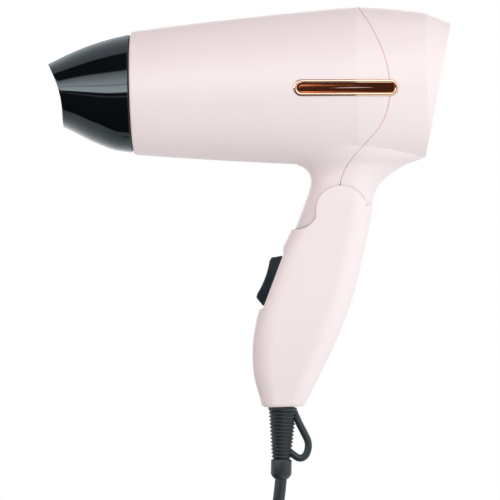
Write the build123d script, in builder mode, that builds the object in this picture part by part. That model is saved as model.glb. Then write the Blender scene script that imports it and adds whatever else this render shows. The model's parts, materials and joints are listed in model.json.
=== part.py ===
from build123d import *
import math
import os

# Folding hair dryer with a concentrator nozzle, in millimetres.
# X runs along the barrel with the nozzle towards -X, Z is up, and the origin is the centre of the hand grip.

os.makedirs("parts", exist_ok=True)

# Fits and gaps
RUN_CLEAR = 0.05
SLIDE_CLEAR = 0.2
SEAT_CLEAR = 0.2
BODY_CLEAR = 0.4
SEAM_GAP = 0.35

# Barrel: a front taper that rises to a crest, a rear taper, and a chamfer behind the break
AXIS_Z = 113.5
FRONT_X = -86.1
FRONT_R = 32.1
FRONT_ROUND = 1.4
CREST_X = 31.2
CREST_R = 41.4
FRONT_SAG = 0.75
BREAK_X = 67.0
BREAK_R = 37.3
REAR_SAG = 0.5
RIM_SLOPE = 24.0
RIM_AXIS_X = 73.5
RIM_TILT = 12.3
WALL = 2.2
FRONT_WALL = 3.0

# Neck: height, front, rear and half width of its oval sections, from the skirt up into the barrel
NECK_SECTIONS = [
    (38.0, -4.4, 35.6, 16.2),
    (46.0, -1.4, 36.4, 16.3),
    (54.0, 1.8, 37.2, 16.5),
    (60.5, 4.2, 39.6, 16.8),
    (66.0, 5.3, 44.6, 17.4),
    (70.5, 3.7, 51.5, 18.4),
    (74.0, -2.1, 60.0, 20.2),
    (84.0, -5.0, 61.0, 28.0),
]

# Fold hinge between the handle's two ears and the neck's two cheeks
PIVOT_X = 21.0
PIVOT_Z = 49.1
EAR_R = 13.2
CHEEK_OUT = 10.4
CHEEK_IN = 8.0
CHEEK_R = 16.0
TONGUE_R = 12.4
PIVOT_R = 5.0
PIVOT_BORE_R = 3.2
PIVOT_SEAT = 2.6
STOP_Z = 51.5
TAIL_X = -2.2
TAIL_Z = 51.6
TAIL_R = 11.4
TAIL_EDGE_Z = 40.2

# Seam between front and rear shell, from above the crest down to the hinge
SEAM_POINTS = [
    (28.6, 160.0),
    (41.7, 137.7),
    (47.9, 112.5),
    (43.4, 93.5),
    (32.3, 81.2),
    (23.7, 70.7),
    (20.8, 62.0),
]

# Handle: height, front, rear and half width of its rounded sections, from above the ears to the bottom
HANDLE_BOTTOM = -51.6
HANDLE_SECTIONS = [
    (64.0, 3.4, 38.4, 16.9),
    (52.0, -0.9, 36.9, 17.0),
    (40.0, -5.5, 34.8, 17.2),
    (28.0, -11.7, 31.9, 17.4),
    (14.0, -17.4, 28.3, 17.6),
    (0.0, -23.0, 23.7, 17.6),
    (-14.0, -26.4, 18.0, 17.0),
    (-28.0, -27.3, 11.2, 15.8),
    (-40.0, -25.9, 4.9, 13.9),
    (HANDLE_BOTTOM, -23.4, -1.6, 10.6),
]
HANDLE_WALL = 2.1
HANDLE_CORNER = 0.68
HANDLE_ROUND = 2.6

# Rocker switch on the front edge of the handle
ROCKER_X = -16.15
ROCKER_Z = 14.0
ROCKER_LEAN = 22.2
ROCKER_LENGTH = 27.5
ROCKER_FLAT = 18.0
ROCKER_WIDTH = 13.0
ROCKER_PROUD = 4.8
ROCKER_DISH = 0.9
ROCKER_SHOULDER = 2.65
ROCKER_SKIRT = 3.0
ROCKER_PIVOT_DEPTH = 6.0
ROCKER_AXLE_R = 1.5
ROCKER_ROUND = 0.5
ROCKER_END_CLEAR = 1.0
LAND_DEPTH = 0.9
LAND_RISE = 2.2
LAND_RAMPS = (8.0, 3.0)
SWITCH_DEPTH = 11.0
SWITCH_WALL = 1.5
SWITCH_CHEEK = 5.0
TERMINAL_LENGTH = 5.0
TERMINAL_PITCH = 8.0
RIB = 1.6

# Concentrator nozzle on its collar: distance in front of the shell, half width, half height, rise of centre
NOZZLE_SECTIONS = [
    (0.4, 31.3, 31.3, 0.0),
    (11.0, 30.3, 29.2, -0.1),
    (22.0, 28.9, 25.4, 0.7),
    (33.0, 27.6, 20.4, 1.6),
    (46.0, 27.0, 14.2, 2.0),
]
NOZZLE_WALL = 1.8
NOZZLE_BORE_DEPTH = 8.6
MOUTH_X = -125.77
MOUTH_RISE = -0.57
MOUTH_TILT = 11.7
MOUTH_R = 39.5
MOUTH_SAG = 3.4
SPIGOT_R = 26.5
SPIGOT_LENGTH = 8.4
COLLAR_WALL = 1.25
COLLAR_LENGTH = 7.0

# Outlet grille and heater
OUTLET_WALL = 1.5
OUTLET_FLANGE_R = 28.6
BAR = 1.6
SLEEVE_R = 27.0
SLEEVE_WALL = 0.6
SLEEVE_FRONT_X = -82.0
SLEEVE_REAR_X = -1.0
BOARD = 0.8
BOARD_FRONT_X = -76.0
BOARD_REAR_X = -6.0
BOARD_TAB = 6.0
HEATER_R = 20.0
HEATER_WIRE_R = 1.1
HEATER_PITCH = 6.0
HEATER_TURNS = 8
HEATER_START_X = -66.0

# Fan, motor and duct
DUCT_R = 36.0
DUCT_WALL = 1.6
DUCT_FLANGE_X = 4.0
DUCT_FLANGE = 2.0
DUCT_REAR_X = 60.0
MOTOR_R = 13.5
MOTOR_FRONT_X = 10.0
MOTOR_REAR_X = 42.0
CUP_WALL = 1.6
VANES = 7
VANE = 1.5
SHAFT_R = 1.5
SHAFT_START_X = 30.0
FAN_FRONT_X = 46.0
FAN_REAR_X = 58.0
FAN_HUB_R = 15.0
FAN_TIP_R = 33.0
FAN_BLADES = 9
FAN_PITCH = 38.0
BLADE = 1.4
BLADE_CHORD = 14.0

# Inlet grille and filter
GRILLE_RECESS = 0.8
GRILLE = 2.6
GRILLE_RINGS = 5
GRILLE_SLOT = 2.8
GRILLE_STEP = 5.2
GRILLE_SPOKE = 3.0
FILTER = 0.6
FILTER_R = 26.5
FILTER_PITCH = 4.0
FILTER_HOLE = 3.0

# Trim strips let into both sides of the barrel
TRIM_X = 25.3
TRIM_Z = 111.65
TRIM_LENGTH = 53.7
TRIM_HEIGHT = 8.5
TRIM_TILT = -1.6
TRIM_PROUD = 0.6
TRIM_SUNK = 0.8

# Screws
SCREW_R = 1.4
SCREW_HEAD_R = 2.7
SCREW_HEAD = 1.6
BOSS_R = 3.0
HANDLE_SCREWS = [(1.4, -37.0), (17.2, 0.0), (27.0, 25.0)]
HANDLE_BOSS_R = 4.0
SCREW_SEAT = 4.0
SCREW_END = 9.0
DUCT_SCREWS = 3
DUCT_SCREW_DEPTH = 10.0

# Strain relief with its hang loop, and the cord
RELIEF_X = -12.6
RELIEF_LEAN = 2.9
RELIEF_ROOT_R = 7.5
RELIEF_RIB_START = 2.8
RELIEF_RIBS = 13
RELIEF_RIB_PITCH = 1.88
RELIEF_RIB_TOP_R = 7.2
RELIEF_RIB_END_R = 5.2
RELIEF_GROOVE = 0.8
RELIEF_COLLAR_R = 5.4
RELIEF_COLLAR_START = 27.4
RELIEF_COLLAR_END = 35.6
RELIEF_END_R = 3.6
RELIEF_LENGTH = 37.6
RELIEF_FLANGE_R = 7.8
RELIEF_FLANGE = 2.0
RELIEF_SEAT = 0.4
RELIEF_NECK_R = 6.2
LOOP_POINTS = [
    (-7.0, -54.0),
    (1.4, -74.2),
    (-4.0, -79.9),
    (-10.6, -74.2),
]
LOOP_ROUND = 4.5
LOOP_BAR_R = 1.9
CORD_R = 3.1
CORD_TAIL = 22.0
CLAMP_RISE = 15.0
CLAMP_HEIGHT = 7.0
CLAMP_HALF = 7.5
CLAMP = 3.0
CLAMP_SCREW_AT = 5.4
CLAMP_SCREW_DEPTH = 5.0

# Free stretch of the cord, from the strain relief down to the coil on the floor
LEAD_POINTS = [
    (-14.5, 0.0, -89.15),
    (-16.3, 0.0, -104.0),
    (-21.5, 7.0, -125.0),
    (-32.0, 17.5, -140.0),
    (-45.5, 31.0, -145.9),
    (-56.0, 41.5, -145.9),
]

# Coil of the cord that is put away
COIL_R = 47.4
COIL_STEP = 6.8
COIL_LAYER = 6.8
COIL_TURNS_IN = 3.25
COIL_TURNS_OUT = 2
COIL_HEADING = 135.0
TIE_WIDTH = 10.0
TIE = 0.8
TIE_CLEAR = 0.15
COIL_END = 18.0

# Plug with two round pins
PLUG_SECTIONS = [
    (0.0, 4.6, 4.6),
    (20.0, 6.6, 6.2),
    (30.0, 13.0, 9.0),
    (46.0, 18.0, 10.7),
    (56.0, 17.6, 10.4),
]
PIN_R = 2.4
PIN_LENGTH = 19.0
PIN_PITCH = 19.0
PIN_ROOT = 8.0
PIN_ROOT_R = 1.8

# Wires inside
WIRE_R = 0.9
WIRE_BEND = 4.0

# Planes and axes that several pieces share
BARREL_AXIS = Axis((0, 0, AXIS_Z), (1, 0, 0))
BARREL_SIDE = Plane(origin=(0, 0, AXIS_Z), x_dir=(1, 0, 0), z_dir=(0, -1, 0))
RIM_PLANE = Plane(
    origin=(RIM_AXIS_X, 0, AXIS_Z),
    x_dir=(0, 1, 0),
    z_dir=(math.cos(math.radians(RIM_TILT)), 0, -math.sin(math.radians(RIM_TILT))),
)
LEAN_COS = math.cos(math.radians(ROCKER_LEAN))
LEAN_SIN = math.sin(math.radians(ROCKER_LEAN))
ROCKER_SIDE = Plane(origin=(ROCKER_X, 0, ROCKER_Z), x_dir=(-LEAN_SIN, 0, -LEAN_COS), z_dir=(0, 1, 0))
RELIEF_COS = math.cos(math.radians(RELIEF_LEAN))
RELIEF_SIN = math.sin(math.radians(RELIEF_LEAN))
RELIEF_SIDE = Plane(
    origin=(RELIEF_X, 0, HANDLE_BOTTOM), x_dir=(RELIEF_COS, 0, -RELIEF_SIN), z_dir=(0, -1, 0)
)
RELIEF_AXIS = Axis((RELIEF_X, 0, HANDLE_BOTTOM), (-RELIEF_SIN, 0, -RELIEF_COS))
FAR = 200.0


def finish(piece, label):
    """Name a finished piece and write it."""
    piece.part.label = label
    export_step(piece.part, f"parts/{label}.step")


def across(x, rise=0.0):
    """Plane square to the barrel axis at x, with its own x along Y and its own y up."""
    return Plane(origin=(x, 0, AXIS_Z + rise), x_dir=(0, 1, 0), z_dir=(1, 0, 0))


def ring(x_start, x_end, outer, inner=0.0, mode=Mode.ADD):
    """Round plate or ring on the barrel axis."""
    with BuildSketch(across(x_start)) as profile:
        Circle(outer)
        if inner > 0:
            Circle(inner, mode=Mode.SUBTRACT)
    extrude(profile.sketch, amount=x_end - x_start, mode=mode)


def slab(half_width, mode=Mode.SUBTRACT):
    """Wide upright slab about the middle plane."""
    with BuildSketch(Plane.XZ) as profile:
        Rectangle(2 * FAR, 2 * FAR)
    extrude(profile.sketch, amount=half_width, both=True, mode=mode)


def arc_middle(start, end, sag):
    """Middle point of an arc that rises by sag above its chord, to the left of start to end."""
    chord = Vector(*end) - Vector(*start)
    side = Vector(-chord.Y, chord.X) * (sag / chord.length)
    return (Vector(*start) + Vector(*end)) * 0.5 + side


def barrel_radius(x, start=(FRONT_X, FRONT_R), end=(CREST_X, CREST_R), sag=FRONT_SAG):
    """Outer radius of the front taper at x."""
    chord = math.dist(start, end)
    arc_r = (chord * chord / 4 + sag * sag) / (2 * sag)
    middle = arc_middle(start, end, sag - arc_r)
    return middle.Y + math.sqrt(arc_r**2 - (x - middle.X) ** 2)


def barrel_turning(inset, front_x):
    """Revolved form of the barrel, drawn in by inset, from front_x to past the rim."""
    front = (front_x, barrel_radius(front_x) - inset)
    crest = (CREST_X, CREST_R - inset)
    brim = (BREAK_X, BREAK_R - inset)
    sag = FRONT_SAG * ((CREST_X - front_x) / (CREST_X - FRONT_X)) ** 2
    rear_x = RIM_AXIS_X + BREAK_R
    rear = (rear_x, max(brim[1] - (rear_x - BREAK_X) * math.tan(math.radians(RIM_SLOPE)), 1.0))
    with BuildSketch(BARREL_SIDE) as profile:
        with BuildLine():
            ThreePointArc(front, arc_middle(front, crest, sag), crest)
            ThreePointArc(crest, arc_middle(crest, brim, REAR_SAG), brim)
            Polyline(brim, rear, (rear_x, 0), (front_x, 0), front)
        make_face()
    revolve(profile.sketch, axis=BARREL_AXIS)


def oval_loft(sections, inset=0.0):
    """Loft of level ovals, each drawn in by inset."""
    faces = []
    for height, front, rear, half_width in sections:
        with BuildSketch(Plane.XY.offset(height)) as profile:
            with Locations(((front + rear) / 2, 0)):
                Ellipse((rear - front) / 2 - inset, half_width - inset)
        faces.append(profile.sketch.face())
    loft(faces)


def handle_loft(sections, inset=0.0):
    """Loft of level rounded oblongs, each drawn in by inset."""
    faces = []
    for height, front, rear, half_width in sections:
        with BuildSketch(Plane.XY.offset(height)) as profile:
            with Locations(((front + rear) / 2, 0)):
                RectangleRounded(
                    rear - front - 2 * inset, 2 * (half_width - inset), HANDLE_CORNER * half_width - inset
                )
        faces.append(profile.sketch.face())
    loft(faces)


def nozzle_loft(sections, inset=0.0):
    """Loft of upright ovals in front of the barrel, each drawn in by inset."""
    faces = []
    for ahead, half_width, half_height, rise in sections:
        with BuildSketch(across(FRONT_X - ahead, rise)) as profile:
            Ellipse(half_width - inset, half_height - inset)
        faces.append(profile.sketch.face())
    loft(faces)


def handle_side(gap, mode):
    """Keep or cut the side region of the handle below its seam with the neck, grown by gap."""
    tail_r = TAIL_R - gap
    edge_z = TAIL_EDGE_Z + gap
    start_x = TAIL_X - math.sqrt(tail_r**2 - (edge_z - TAIL_Z) ** 2)
    low = (TAIL_X + tail_r * math.cos(math.radians(-63)), TAIL_Z + tail_r * math.sin(math.radians(-63)))
    end = (TAIL_X + tail_r * math.cos(math.radians(-27)), TAIL_Z + tail_r * math.sin(math.radians(-27)))
    with BuildSketch(Plane.XZ) as region:
        with BuildLine():
            ThreePointArc((start_x, edge_z), low, end)
            Polyline(
                end,
                (PIVOT_X, PIVOT_Z),
                (PIVOT_X, STOP_Z + gap),
                (FAR, STOP_Z + gap),
                (FAR, -FAR),
                (-FAR, -FAR),
                (-FAR, edge_z),
                (start_x, edge_z),
            )
        make_face()
        with Locations((PIVOT_X, PIVOT_Z)):
            Circle(EAR_R + gap)
    extrude(region.sketch, amount=FAR, both=True, mode=mode)


def rocker_land(inset):
    """Cut the handle's front flat around the rocker, with a ramp at both ends, drawn in by inset."""
    half = ROCKER_LENGTH / 2 + ROCKER_END_CLEAR + inset
    low = -LAND_DEPTH - inset
    with BuildSketch(ROCKER_SIDE) as region:
        with BuildLine():
            Polyline(
                (-half, low),
                (half, low),
                (half + LAND_RAMPS[1], LAND_RISE - inset),
                (half + LAND_RAMPS[1], FAR),
                (-half - LAND_RAMPS[0], FAR),
                (-half - LAND_RAMPS[0], LAND_RISE - inset),
                close=True,
            )
        make_face()
    extrude(region.sketch, amount=FAR, both=True, mode=Mode.SUBTRACT)


def seam_side(rear, shift):
    """Side region behind or in front of the S-shaped seam, moved along X by shift."""
    reach = FAR if rear else -FAR
    points = [(x + shift, z) for x, z in SEAM_POINTS]
    with BuildSketch(Plane.XZ) as region:
        with BuildLine():
            Spline(*points)
            Polyline(
                points[-1],
                (points[-1][0], -FAR),
                (reach, -FAR),
                (reach, FAR),
                (points[0][0], FAR),
                points[0],
            )
        make_face()
        with Locations((PIVOT_X, PIVOT_Z)):
            if rear:
                Circle(TONGUE_R + SEAM_GAP, mode=Mode.SUBTRACT)
            else:
                Circle(TONGUE_R)
    extrude(region.sketch, amount=FAR, both=True, mode=Mode.INTERSECT)


def biarc(start, leave, end, arrive):
    """Two arcs from start to end that leave and arrive along the given unit directions."""
    span = end - start
    both = leave + arrive
    a = 4 - both.dot(both)
    b = 2 * span.dot(both)
    reach = (math.sqrt(b * b + 4 * a * span.dot(span)) - b) / (2 * a)
    first = start + leave * reach
    second = end - arrive * reach
    joint = (first + second) * 0.5
    TangentArc(start, joint, tangent=leave)
    TangentArc(joint, end, tangent=second - first)


def wind(stations):
    """Path of biarcs through points with directions."""
    for (start, leave), (end, arrive) in zip(stations, stations[1:]):
        biarc(start, leave, end, arrive)


def joined(path):
    """All edges of a drawn path as one wire."""
    return Wire(path.edges())


def tube(path, radius):
    """Round tube along a wire."""
    with BuildSketch(Plane(origin=path @ 0, z_dir=path % 0)) as profile:
        Circle(radius)
    sweep(profile.sketch, path=path)


def bend_radii(points):
    """Largest arcs that the runs of a cord leave room for."""
    corners = [Vector(*point) for point in points]
    radii = []
    for before, corner, after in zip(corners, corners[1:], corners[2:]):
        run_in = corner - before
        run_out = after - corner
        half_turn = math.radians(run_in.get_angle(run_out)) / 2
        radii.append(0.45 * min(run_in.length, run_out.length) / math.tan(half_turn))
    return radii


def least_gap(path, radius, spacing):
    """Least gap of a tube to itself, measured on points further apart along it than a few diameters."""
    count = int(path.length / spacing)
    points = [path.position_at(i / count) for i in range(count + 1)]
    apart = int(8 * radius / spacing) + 1
    least = min(
        (points[i] - points[j]).length for i in range(len(points)) for j in range(i + apart, len(points))
    )
    return least - 2 * radius


def report_tube(name, piece, path, radius):
    """Compare a tube's volume with its section times its length."""
    expected = math.pi * radius**2 * path.length
    print(f"{name}: length {path.length:.1f}, volume ratio {piece.part.volume / expected:.4f}")


def wire(points):
    """One insulated wire through points."""
    with BuildLine() as path:
        FilletPolyline(*points, radius=WIRE_BEND)
    tube(joined(path), WIRE_R)


def along_y(x, z, radius, y_start, y_end, mode=Mode.ADD):
    """Round rod along Y."""
    with BuildSketch(Plane(origin=(x, y_start, z), x_dir=(1, 0, 0), z_dir=(0, 1, 0))) as profile:
        Circle(radius)
    extrude(profile.sketch, amount=y_end - y_start, mode=mode)


# Barrel forms: the outside with the neck, and the hollow
with BuildPart() as barrel_form:
    barrel_turning(0, FRONT_X)
    fillet(barrel_form.edges().filter_by(GeomType.CIRCLE).sort_by(Axis.X)[0], FRONT_ROUND)
    oval_loft(NECK_SECTIONS)
    split(bisect_by=RIM_PLANE, keep=Keep.BOTTOM)

with BuildPart() as barrel_hollow:
    barrel_turning(WALL, FRONT_X + FRONT_WALL)
    oval_loft(NECK_SECTIONS, WALL)

with BuildPart() as cheeks:
    oval_loft(NECK_SECTIONS)
    with BuildSketch(Plane.XZ):
        with Locations((PIVOT_X, PIVOT_Z)):
            Circle(CHEEK_R)
        with Locations((PIVOT_X, STOP_Z + BODY_CLEAR - FAR / 2)):
            Rectangle(FAR, FAR, mode=Mode.SUBTRACT)
        with Locations((PIVOT_X, PIVOT_Z)):
            Circle(TONGUE_R)
    extrude(amount=FAR, both=True, mode=Mode.INTERSECT)
    slab(CHEEK_IN)


def trim_side(grow):
    """Outline of the trim strip in the side view."""
    with BuildSketch(Plane.XZ) as region:
        with Locations(Location((TRIM_X, TRIM_Z, 0), (0, 0, TRIM_TILT))):
            SlotOverall(TRIM_LENGTH + 2 * grow, TRIM_HEIGHT + 2 * grow)
    extrude(region.sketch, amount=FAR, both=True, mode=Mode.INTERSECT)


with BuildPart() as trim_core:
    barrel_turning(TRIM_SUNK, FRONT_X)

with BuildPart() as trim_pocket:
    barrel_turning(-TRIM_PROUD - SEAT_CLEAR, FRONT_X)
    add(trim_core.part, mode=Mode.SUBTRACT)
    trim_side(SEAT_CLEAR / 2)


def body_shell():
    """Barrel and neck before they are parted at the seam."""
    add(barrel_form.part)
    add(barrel_hollow.part, mode=Mode.SUBTRACT)
    ring(FRONT_X - 1, FRONT_X + FRONT_WALL + 1, OUTLET_FLANGE_R + SEAT_CLEAR, mode=Mode.SUBTRACT)
    add(trim_pocket.part, mode=Mode.SUBTRACT)
    handle_side(BODY_CLEAR, Mode.SUBTRACT)
    add(cheeks.part)
    for side in (-1, 1):
        along_y(PIVOT_X, PIVOT_Z, EAR_R + BODY_CLEAR, side * CHEEK_OUT, side * FAR, Mode.SUBTRACT)
    along_y(PIVOT_X, PIVOT_Z, PIVOT_R + RUN_CLEAR, -FAR, FAR, Mode.SUBTRACT)


# Front shell, with the bosses that the fan duct is screwed to
DUCT_BOSS_AT = barrel_radius(DUCT_FLANGE_X - DUCT_SCREW_DEPTH) - WALL - 0.75 * BOSS_R
DUCT_FLANGE_R = barrel_radius(DUCT_FLANGE_X) - WALL - SEAT_CLEAR


def duct_screw_places():
    """Places of the duct screws around the barrel axis."""
    return PolarLocations(DUCT_BOSS_AT, DUCT_SCREWS, start_angle=90)


with BuildPart() as front_shell:
    body_shell()
    seam_side(False, -SEAM_GAP / 2)
    with BuildSketch(across(DUCT_FLANGE_X - DUCT_SCREW_DEPTH)):
        with duct_screw_places():
            Circle(BOSS_R)
            Circle(SCREW_R + RUN_CLEAR, mode=Mode.SUBTRACT)
    extrude(amount=DUCT_SCREW_DEPTH)
finish(front_shell, "front_shell")

with BuildPart() as rear_shell:
    body_shell()
    seam_side(True, SEAM_GAP / 2)
finish(rear_shell, "rear_shell")

# Trim strips
for label, keep_side in (("trim_strip_left", Keep.TOP), ("trim_strip_right", Keep.BOTTOM)):
    with BuildPart() as trim_strip:
        barrel_turning(-TRIM_PROUD, FRONT_X)
        add(trim_core.part, mode=Mode.SUBTRACT)
        trim_side(0)
        split(bisect_by=Plane.XZ, keep=keep_side)
    finish(trim_strip, label)

# Inlet grille in the slanted rim, with ring slots between four spokes
with BuildPart() as inlet_grille:
    barrel_turning(WALL + SEAT_CLEAR, CREST_X - 1)
    split(bisect_by=RIM_PLANE.offset(-GRILLE_RECESS), keep=Keep.BOTTOM)
    split(bisect_by=RIM_PLANE.offset(-GRILLE_RECESS - GRILLE), keep=Keep.TOP)
    with BuildSketch(RIM_PLANE):
        for index in range(GRILLE_RINGS, 0, -1):
            slot_r = GRILLE_STEP * index
            Circle(slot_r + GRILLE_SLOT / 2)
            Circle(slot_r - GRILLE_SLOT / 2, mode=Mode.SUBTRACT)
        Rectangle(GRILLE_SPOKE, FAR, mode=Mode.SUBTRACT)
        Rectangle(FAR, GRILLE_SPOKE, mode=Mode.SUBTRACT)
    extrude(amount=-FAR, mode=Mode.SUBTRACT)
finish(inlet_grille, "inlet_grille")

# Dust filter, a flat net just behind the grille
FILTER_CELLS = int(2 * FILTER_R / FILTER_PITCH)
with BuildPart() as filter_mesh:
    with BuildSketch(RIM_PLANE.offset(-GRILLE_RECESS - GRILLE - SEAT_CLEAR)):
        Circle(FILTER_R)
        with GridLocations(FILTER_PITCH, FILTER_PITCH, FILTER_CELLS, FILTER_CELLS) as cells:
            inside = [
                cell for cell in cells.local_locations if cell.position.length + FILTER_HOLE < FILTER_R
            ]
        with Locations(*inside):
            Rectangle(FILTER_HOLE, FILTER_HOLE, mode=Mode.SUBTRACT)
    extrude(amount=-FILTER)
finish(filter_mesh, "filter_mesh")

# Fan duct: flange, socket for the heat sleeve, outer ring, guide vanes and motor cup
CUP_R = MOTOR_R + SEAT_CLEAR + CUP_WALL
SOCKET_R = SLEEVE_R + SLEEVE_WALL + SEAT_CLEAR
with BuildPart() as fan_duct:
    ring(DUCT_FLANGE_X, DUCT_FLANGE_X + DUCT_FLANGE, DUCT_FLANGE_R, SLEEVE_R)
    ring(SLEEVE_REAR_X - 4, DUCT_FLANGE_X + DUCT_FLANGE, SOCKET_R + 1.4, SOCKET_R)
    ring(DUCT_FLANGE_X, DUCT_REAR_X, DUCT_R, DUCT_R - DUCT_WALL)
    with BuildSketch(across(DUCT_FLANGE_X + DUCT_FLANGE)):
        with duct_screw_places():
            Circle(SCREW_HEAD_R + BODY_CLEAR)
    extrude(amount=SCREW_HEAD + BODY_CLEAR, mode=Mode.SUBTRACT)
    ring(MOTOR_FRONT_X + 2, MOTOR_REAR_X + CUP_WALL, CUP_R)
    ring(MOTOR_FRONT_X + 2, MOTOR_REAR_X, MOTOR_R + SEAT_CLEAR, mode=Mode.SUBTRACT)
    ring(MOTOR_REAR_X, FAN_FRONT_X, 4 * SHAFT_R, mode=Mode.SUBTRACT)
    vane_length = DUCT_R - CUP_R - DUCT_WALL / 2 + CUP_WALL / 2
    with BuildSketch(across(MOTOR_FRONT_X + 4)):
        with PolarLocations((DUCT_R - DUCT_WALL / 2 + CUP_R - CUP_WALL / 2) / 2, VANES, start_angle=30):
            Rectangle(vane_length, VANE)
    extrude(amount=MOTOR_REAR_X - MOTOR_FRONT_X - 8)
    with BuildSketch(across(DUCT_FLANGE_X)):
        with duct_screw_places():
            Circle(SCREW_R + SEAT_CLEAR)
        with Locations((0, -DUCT_FLANGE_R)):
            Rectangle(4 * BOSS_R, 2 * (DUCT_FLANGE_R - DUCT_R) + 4 * WIRE_R)
    extrude(amount=DUCT_FLANGE, mode=Mode.SUBTRACT)
finish(fan_duct, "fan_duct")

with BuildPart() as duct_screws:
    with BuildSketch(across(DUCT_FLANGE_X + DUCT_FLANGE)):
        with duct_screw_places():
            Circle(SCREW_HEAD_R)
    extrude(amount=SCREW_HEAD)
    with BuildSketch(across(DUCT_FLANGE_X + DUCT_FLANGE)):
        with duct_screw_places():
            Circle(SCREW_R)
    extrude(amount=-DUCT_SCREW_DEPTH)
finish(duct_screws, "duct_screws")

# Motor, its shaft and the fan
with BuildPart() as motor_can:
    ring(MOTOR_FRONT_X, MOTOR_REAR_X, MOTOR_R)
    ring(SHAFT_START_X - 1, MOTOR_REAR_X, SHAFT_R + RUN_CLEAR, mode=Mode.SUBTRACT)
finish(motor_can, "motor_can")

with BuildPart() as motor_end_cap:
    ring(MOTOR_FRONT_X - 2.4, MOTOR_FRONT_X, MOTOR_R - 0.6)
    ring(MOTOR_FRONT_X - 4.4, MOTOR_FRONT_X - 2.4, 4 * SHAFT_R)
finish(motor_end_cap, "motor_end_cap")

with BuildPart() as rectifier_board:
    ring(MOTOR_FRONT_X - 6, MOTOR_FRONT_X - 4.4, MOTOR_R - 1)
    with BuildSketch(across(MOTOR_FRONT_X - 6)):
        with PolarLocations(0.6 * MOTOR_R, 4, start_angle=45):
            Rectangle(5.2, 2.7)
    extrude(amount=-2.7)
finish(rectifier_board, "rectifier_board")

with BuildPart() as motor_shaft:
    ring(SHAFT_START_X, FAN_REAR_X, SHAFT_R)
finish(motor_shaft, "motor_shaft")

with BuildPart() as fan:
    ring(FAN_FRONT_X, FAN_REAR_X, FAN_HUB_R)
    ring(FAN_FRONT_X, FAN_REAR_X - 2, FAN_HUB_R - CUP_WALL, 2.5 * SHAFT_R, mode=Mode.SUBTRACT)
    blade_middle = (FAN_HUB_R + FAN_TIP_R) / 2 - CUP_WALL / 4
    for index in range(FAN_BLADES):
        turn = Location((0, 0, AXIS_Z), (index * 360 / FAN_BLADES, 0, 0))
        seat = Location(((FAN_FRONT_X + FAN_REAR_X) / 2, 0, blade_middle), (0, 0, FAN_PITCH))
        with Locations(turn * seat):
            Box(BLADE_CHORD, BLADE, FAN_TIP_R - FAN_HUB_R + CUP_WALL / 2)
    ring(FAN_FRONT_X - 1, FAN_REAR_X + 1, SHAFT_R, mode=Mode.SUBTRACT)
finish(fan, "fan")

# Outlet grille: flange in the front shell, spigot for the nozzle, socket for the heat sleeve and cross bars
with BuildPart() as outlet_grille:
    ring(FRONT_X - SPIGOT_LENGTH, FRONT_X + FRONT_WALL, SPIGOT_R, SPIGOT_R - OUTLET_WALL)
    ring(FRONT_X, FRONT_X + FRONT_WALL, OUTLET_FLANGE_R, SPIGOT_R - OUTLET_WALL)
    ring(FRONT_X + FRONT_WALL, SLEEVE_FRONT_X + 5, SOCKET_R + 1.2, SOCKET_R)
    ring(FRONT_X + FRONT_WALL, SLEEVE_FRONT_X - SEAT_CLEAR, SOCKET_R + 1.2, SPIGOT_R - OUTLET_WALL)
    with BuildSketch(across(FRONT_X)):
        Circle(0.55 * SPIGOT_R + BAR / 2)
        Circle(0.55 * SPIGOT_R - BAR / 2, mode=Mode.SUBTRACT)
        for angle in (0, 45, 90, 135):
            Rectangle(BAR, 2 * SPIGOT_R - OUTLET_WALL, rotation=angle)
    extrude(amount=FRONT_WALL)
finish(outlet_grille, "outlet_grille")

# Heat sleeve, crossed mica boards and the heater wound on their edges
with BuildPart() as heat_sleeve:
    ring(SLEEVE_FRONT_X, SLEEVE_REAR_X, SLEEVE_R + SLEEVE_WALL, SLEEVE_R)
finish(heat_sleeve, "heat_sleeve")

BOARD_LENGTH = BOARD_REAR_X - BOARD_FRONT_X
BOARD_MIDDLE = (BOARD_REAR_X + BOARD_FRONT_X) / 2
BOARD_HALF = HEATER_R - HEATER_WIRE_R - RUN_CLEAR


def board(plane, slot_side):
    """Mica board with wide tabs at both ends and a half-length slot for the other board."""
    with BuildSketch(plane) as outline:
        with Locations((BOARD_MIDDLE, 0)):
            Rectangle(BOARD_LENGTH, 2 * BOARD_HALF)
        for tab_x in (BOARD_FRONT_X + BOARD_TAB / 2, BOARD_REAR_X - BOARD_TAB / 2):
            with Locations((tab_x, 0)):
                Rectangle(BOARD_TAB, 2 * (SLEEVE_R - SEAT_CLEAR))
        with Locations((BOARD_MIDDLE + slot_side * BOARD_LENGTH / 4, 0)):
            Rectangle(BOARD_LENGTH / 2 + SEAT_CLEAR, BOARD + SEAT_CLEAR, mode=Mode.SUBTRACT)
    extrude(outline.sketch, amount=BOARD / 2, both=True)


with BuildPart() as mica_board_upright:
    board(BARREL_SIDE, 1)
finish(mica_board_upright, "mica_board_upright")

with BuildPart() as mica_board_flat:
    board(Plane.XY.offset(AXIS_Z), -1)
finish(mica_board_flat, "mica_board_flat")


def heater_station(turn):
    """Point and direction on the heater's helix after some turns."""
    angle = 2 * math.pi * turn
    point = Vector(
        HEATER_START_X + HEATER_PITCH * turn,
        HEATER_R * math.cos(angle),
        AXIS_Z + HEATER_R * math.sin(angle),
    )
    circle = 2 * math.pi * HEATER_R
    return point, Vector(HEATER_PITCH, -circle * math.sin(angle), circle * math.cos(angle)).normalized()


with BuildPart() as heater_coil:
    with BuildLine() as heater_path:
        wind([heater_station(quarter / 4) for quarter in range(4 * HEATER_TURNS + 1)])
    tube(joined(heater_path), HEATER_WIRE_R)
print(f"heater_coil: least gap {least_gap(joined(heater_path), HEATER_WIRE_R, 2.0):.2f}")
report_tube("heater_coil", heater_coil, joined(heater_path), HEATER_WIRE_R)
finish(heater_coil, "heater_coil")

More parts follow.
